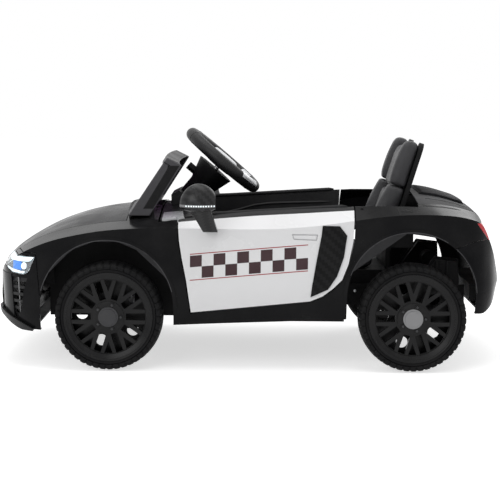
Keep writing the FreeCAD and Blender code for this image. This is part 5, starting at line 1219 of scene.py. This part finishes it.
both_sides("intake_post", [slab(nose_strip(50.5, 65.5), FRONT_LEFT, 0.0022, 0.0040)], "car",
           body_black)
both_sides("intake_bar", [slab(nose_strip(69.6, 70.3), FRONT_LEFT, -0.0006, 0.0020)], "car",
           hub_silver)
nose_x, nose_z = np.meshgrid(between(-0.462, -0.424, 10), between(0.172, 0.226, 10))
both_sides("front_liner", [slab(beside(nose_x, nose_z, -0.200), LEFTWARDS, 0.0, 0.002)], "car",
           under_black)


def groove(start, end, wide, node="rear_deck"):
    """A black line from start to end, given as (x, y), dropped onto the node from above."""
    s = between(0, 1, 40)[None, :]
    t = between(-0.5, 0.5, 4)[:, None] * wide
    x = start[0] + (end[0] - start[0]) * s + 0 * t
    y = start[1] + (end[1] - start[1]) * s + t * np.minimum(1.0, 0.2 + 6 * np.minimum(s, 1 - s))
    return slab(lay_on(above(x, y), node), UPWARDS, 0.0003, 0.001)


both_sides("deck_seam", [groove((0.4780, -0.1950), (0.4850, -0.0200), 0.0016)], "car",
           under_black)
# Painted shade: a dark strip along the groove on each quarter rail.
both_sides("rail_groove_shade", [groove((0.3640, -0.2450), (0.4480, -0.2360), 0.0060, "body_shell")], "car",
           under_black)
COVER_FRONT, COVER_REAR, COVER_LONG, LOUVRE_PITCH = 0.374, 0.473, 0.099, 0.0184
along, over = between(COVER_FRONT, COVER_REAR, 40)[:, None], between(-0.101, 0.101, 120)[None, :]
from_end = np.minimum(along - COVER_FRONT, COVER_REAR - along) / COVER_LONG
louvre = 0.0012 * np.cos(over * FULL_TURN / LOUVRE_PITCH)
rise = (0.0060 + louvre) * np.minimum(1.0, 12 * from_end + 0.25)
cover = slab(lay_on(above(along, over), "rear_deck"), UPWARDS, rise, 0.0040)
sharpen(piece("deck_cover", [cover], "car", deck_black), 40)

under_sheet = lay_on(above(along, between(-0.195, 0.195, 60)[None, :]), "rear_deck")
piece("deck_baffle", [slab(under_sheet, UPWARDS, -0.0120, 0.0015)], "car", under_black)

FRONT_ARCH, REAR_ARCH = ((-0.3020, 0.1350), 0.1424), ((0.3420, 0.1600), 0.1382)


def arch_highlight(centre, radius, low, high, node):
    """A fine lighter line on the lip of a wheel arch, a painted highlight, between two angles from the
    rearward side.
    """
    angle = np.radians(between(low, high, 60))
    path = np.stack([centre[0] + radius * np.cos(angle), centre[1] + radius * np.sin(angle)], -1)
    return ribbon(path, 0.0016, node, 0.0005, 0.001, count=120)


# Painted highlight: a lighter line on each arch lip, where the rounded edge catches the light.
edges = [arch_highlight(*FRONT_ARCH, 14, 166, "body_shell"), arch_highlight(*REAR_ARCH, 58, 160, "body_shell"),
         arch_highlight(*REAR_ARCH, 4, 50, "rear_bumper")]
both_sides("arch_highlight", edges, "car", hub_dark)

LINER_FRONT = 0.296
flat_x, flat_z = np.meshgrid(between(LINER_FRONT, 0.353, 12), between(0.256, 0.296, 10))
liner = beside(flat_x, flat_z, -0.196 - 0.006 * np.sin((flat_x - LINER_FRONT) * 55))
both_sides("arch_liner", [slab(liner, LEFTWARDS, 0.0, 0.002)], "car", under_black)
print("body details on both sides")

# %% [markdown]
# ## Studio
# The toy stands on a white sweep under large soft lamps. A broad lamp overhead gives the long light
# bands on the hood and deck, a smaller one on the camera's side shows the flank, and a weak one
# behind draws the far edges. The floor is a pale plane that catches the shadow, and the white
# behind is shown to the camera, to reflections and through glass, without more light on the car.

# %% Floor, world and lamps
def area_lamp(name, place, aim, size, power):
    """A square soft lamp at a place, turned to look at a point."""
    data = bpy.data.lights.new(name, "AREA")
    data.shape = "RECTANGLE"
    data.size, data.size_y = size
    data.energy = power
    lamp = bpy.data.objects.new(name, data)
    bpy.context.scene.collection.objects.link(lamp)
    turn = (Vector(aim) - Vector(place)).to_track_quat("-Z", "Y").to_matrix().to_4x4()
    lamp.matrix_world = Matrix.Translation(place) @ turn
    return lamp


area_lamp("lamp_over", (-0.2, -0.3, 2.6), (0.0, 0.0, 0.2), (2.6, 1.6), 26.0)
area_lamp("lamp_camera", (-1.6, -2.8, 1.6), (0.0, 0.0, 0.25), (1.8, 1.4), 22.0)
area_lamp("lamp_far", (1.6, 2.4, 1.8), (0.0, 0.0, 0.3), (1.6, 1.2), 12.0)

floor_mesh = bpy.data.meshes.new("floor")
FLOOR_HALF = 12.0
corners = np.array([[-1, -1, 0], [1, -1, 0], [1, 1, 0], [-1, 1, 0]]) * FLOOR_HALF
floor_mesh.from_pydata(corners.tolist(), [], [[0, 1, 2, 3]])
floor = bpy.data.objects.new("floor", floor_mesh)
bpy.context.scene.collection.objects.link(floor)
floor.location.z = cad_box[0].z - 0.0005


def seen_white(tree, lit_socket, white_socket):
    """A Mix Shader that shows the white one to camera, glossy and transmission rays as far as asked."""
    path = tree.nodes.new("ShaderNodeLightPath")
    either = math_node(tree, "MAXIMUM", path.outputs["Is Camera Ray"], path.outputs["Is Glossy Ray"])
    either = math_node(tree, "MAXIMUM", either, path.outputs["Is Transmission Ray"])
    mix = tree.nodes.new("ShaderNodeMixShader")
    tree.links.new(either, mix.inputs[0])
    tree.links.new(lit_socket, mix.inputs[1])
    tree.links.new(white_socket, mix.inputs[2])
    return mix.outputs[0]


floor_paint = bpy.data.materials.new("floor_paint")
floor_paint.use_nodes = True
tree = floor_paint.node_tree
tree.nodes.clear()
matt = tree.nodes.new("ShaderNodeBsdfDiffuse")
matt.inputs["Color"].default_value = (0.80, 0.80, 0.80, 1.0)
glow = tree.nodes.new("ShaderNodeEmission")
glow.inputs["Strength"].default_value = 0.62
both = tree.nodes.new("ShaderNodeAddShader")
tree.links.new(matt.outputs[0], both.inputs[0])
tree.links.new(glow.outputs[0], both.inputs[1])
out = tree.nodes.new("ShaderNodeOutputMaterial")
tree.links.new(seen_white(tree, matt.outputs[0], both.outputs[0]), out.inputs["Surface"])
floor.data.materials.append(floor_paint)

world = bpy.data.worlds.new("studio")
bpy.context.scene.world = world
world.use_nodes = True
tree = world.node_tree
tree.nodes.clear()
fill, white = (tree.nodes.new("ShaderNodeBackground") for _ in range(2))
for background, strength in ((fill, 0.55), (white, 1.0)):
    background.inputs["Color"].default_value = (1.0, 1.0, 1.0, 1.0)
    background.inputs["Strength"].default_value = strength
out = tree.nodes.new("ShaderNodeOutputWorld")
tree.links.new(seen_white(tree, fill.outputs[0], white.outputs[0]), out.inputs["Surface"])
bpy.context.scene.view_settings.view_transform = "Standard"
print("studio ready")

# %% [markdown]
# The box round the solids, taken before any piece was added, is printed at the end. The dressed car
# may stand only a little proud of the solids.

# %% Print the CAD box
print("CAD box", [[round(c, 4) for c in v] for v in cad_box])
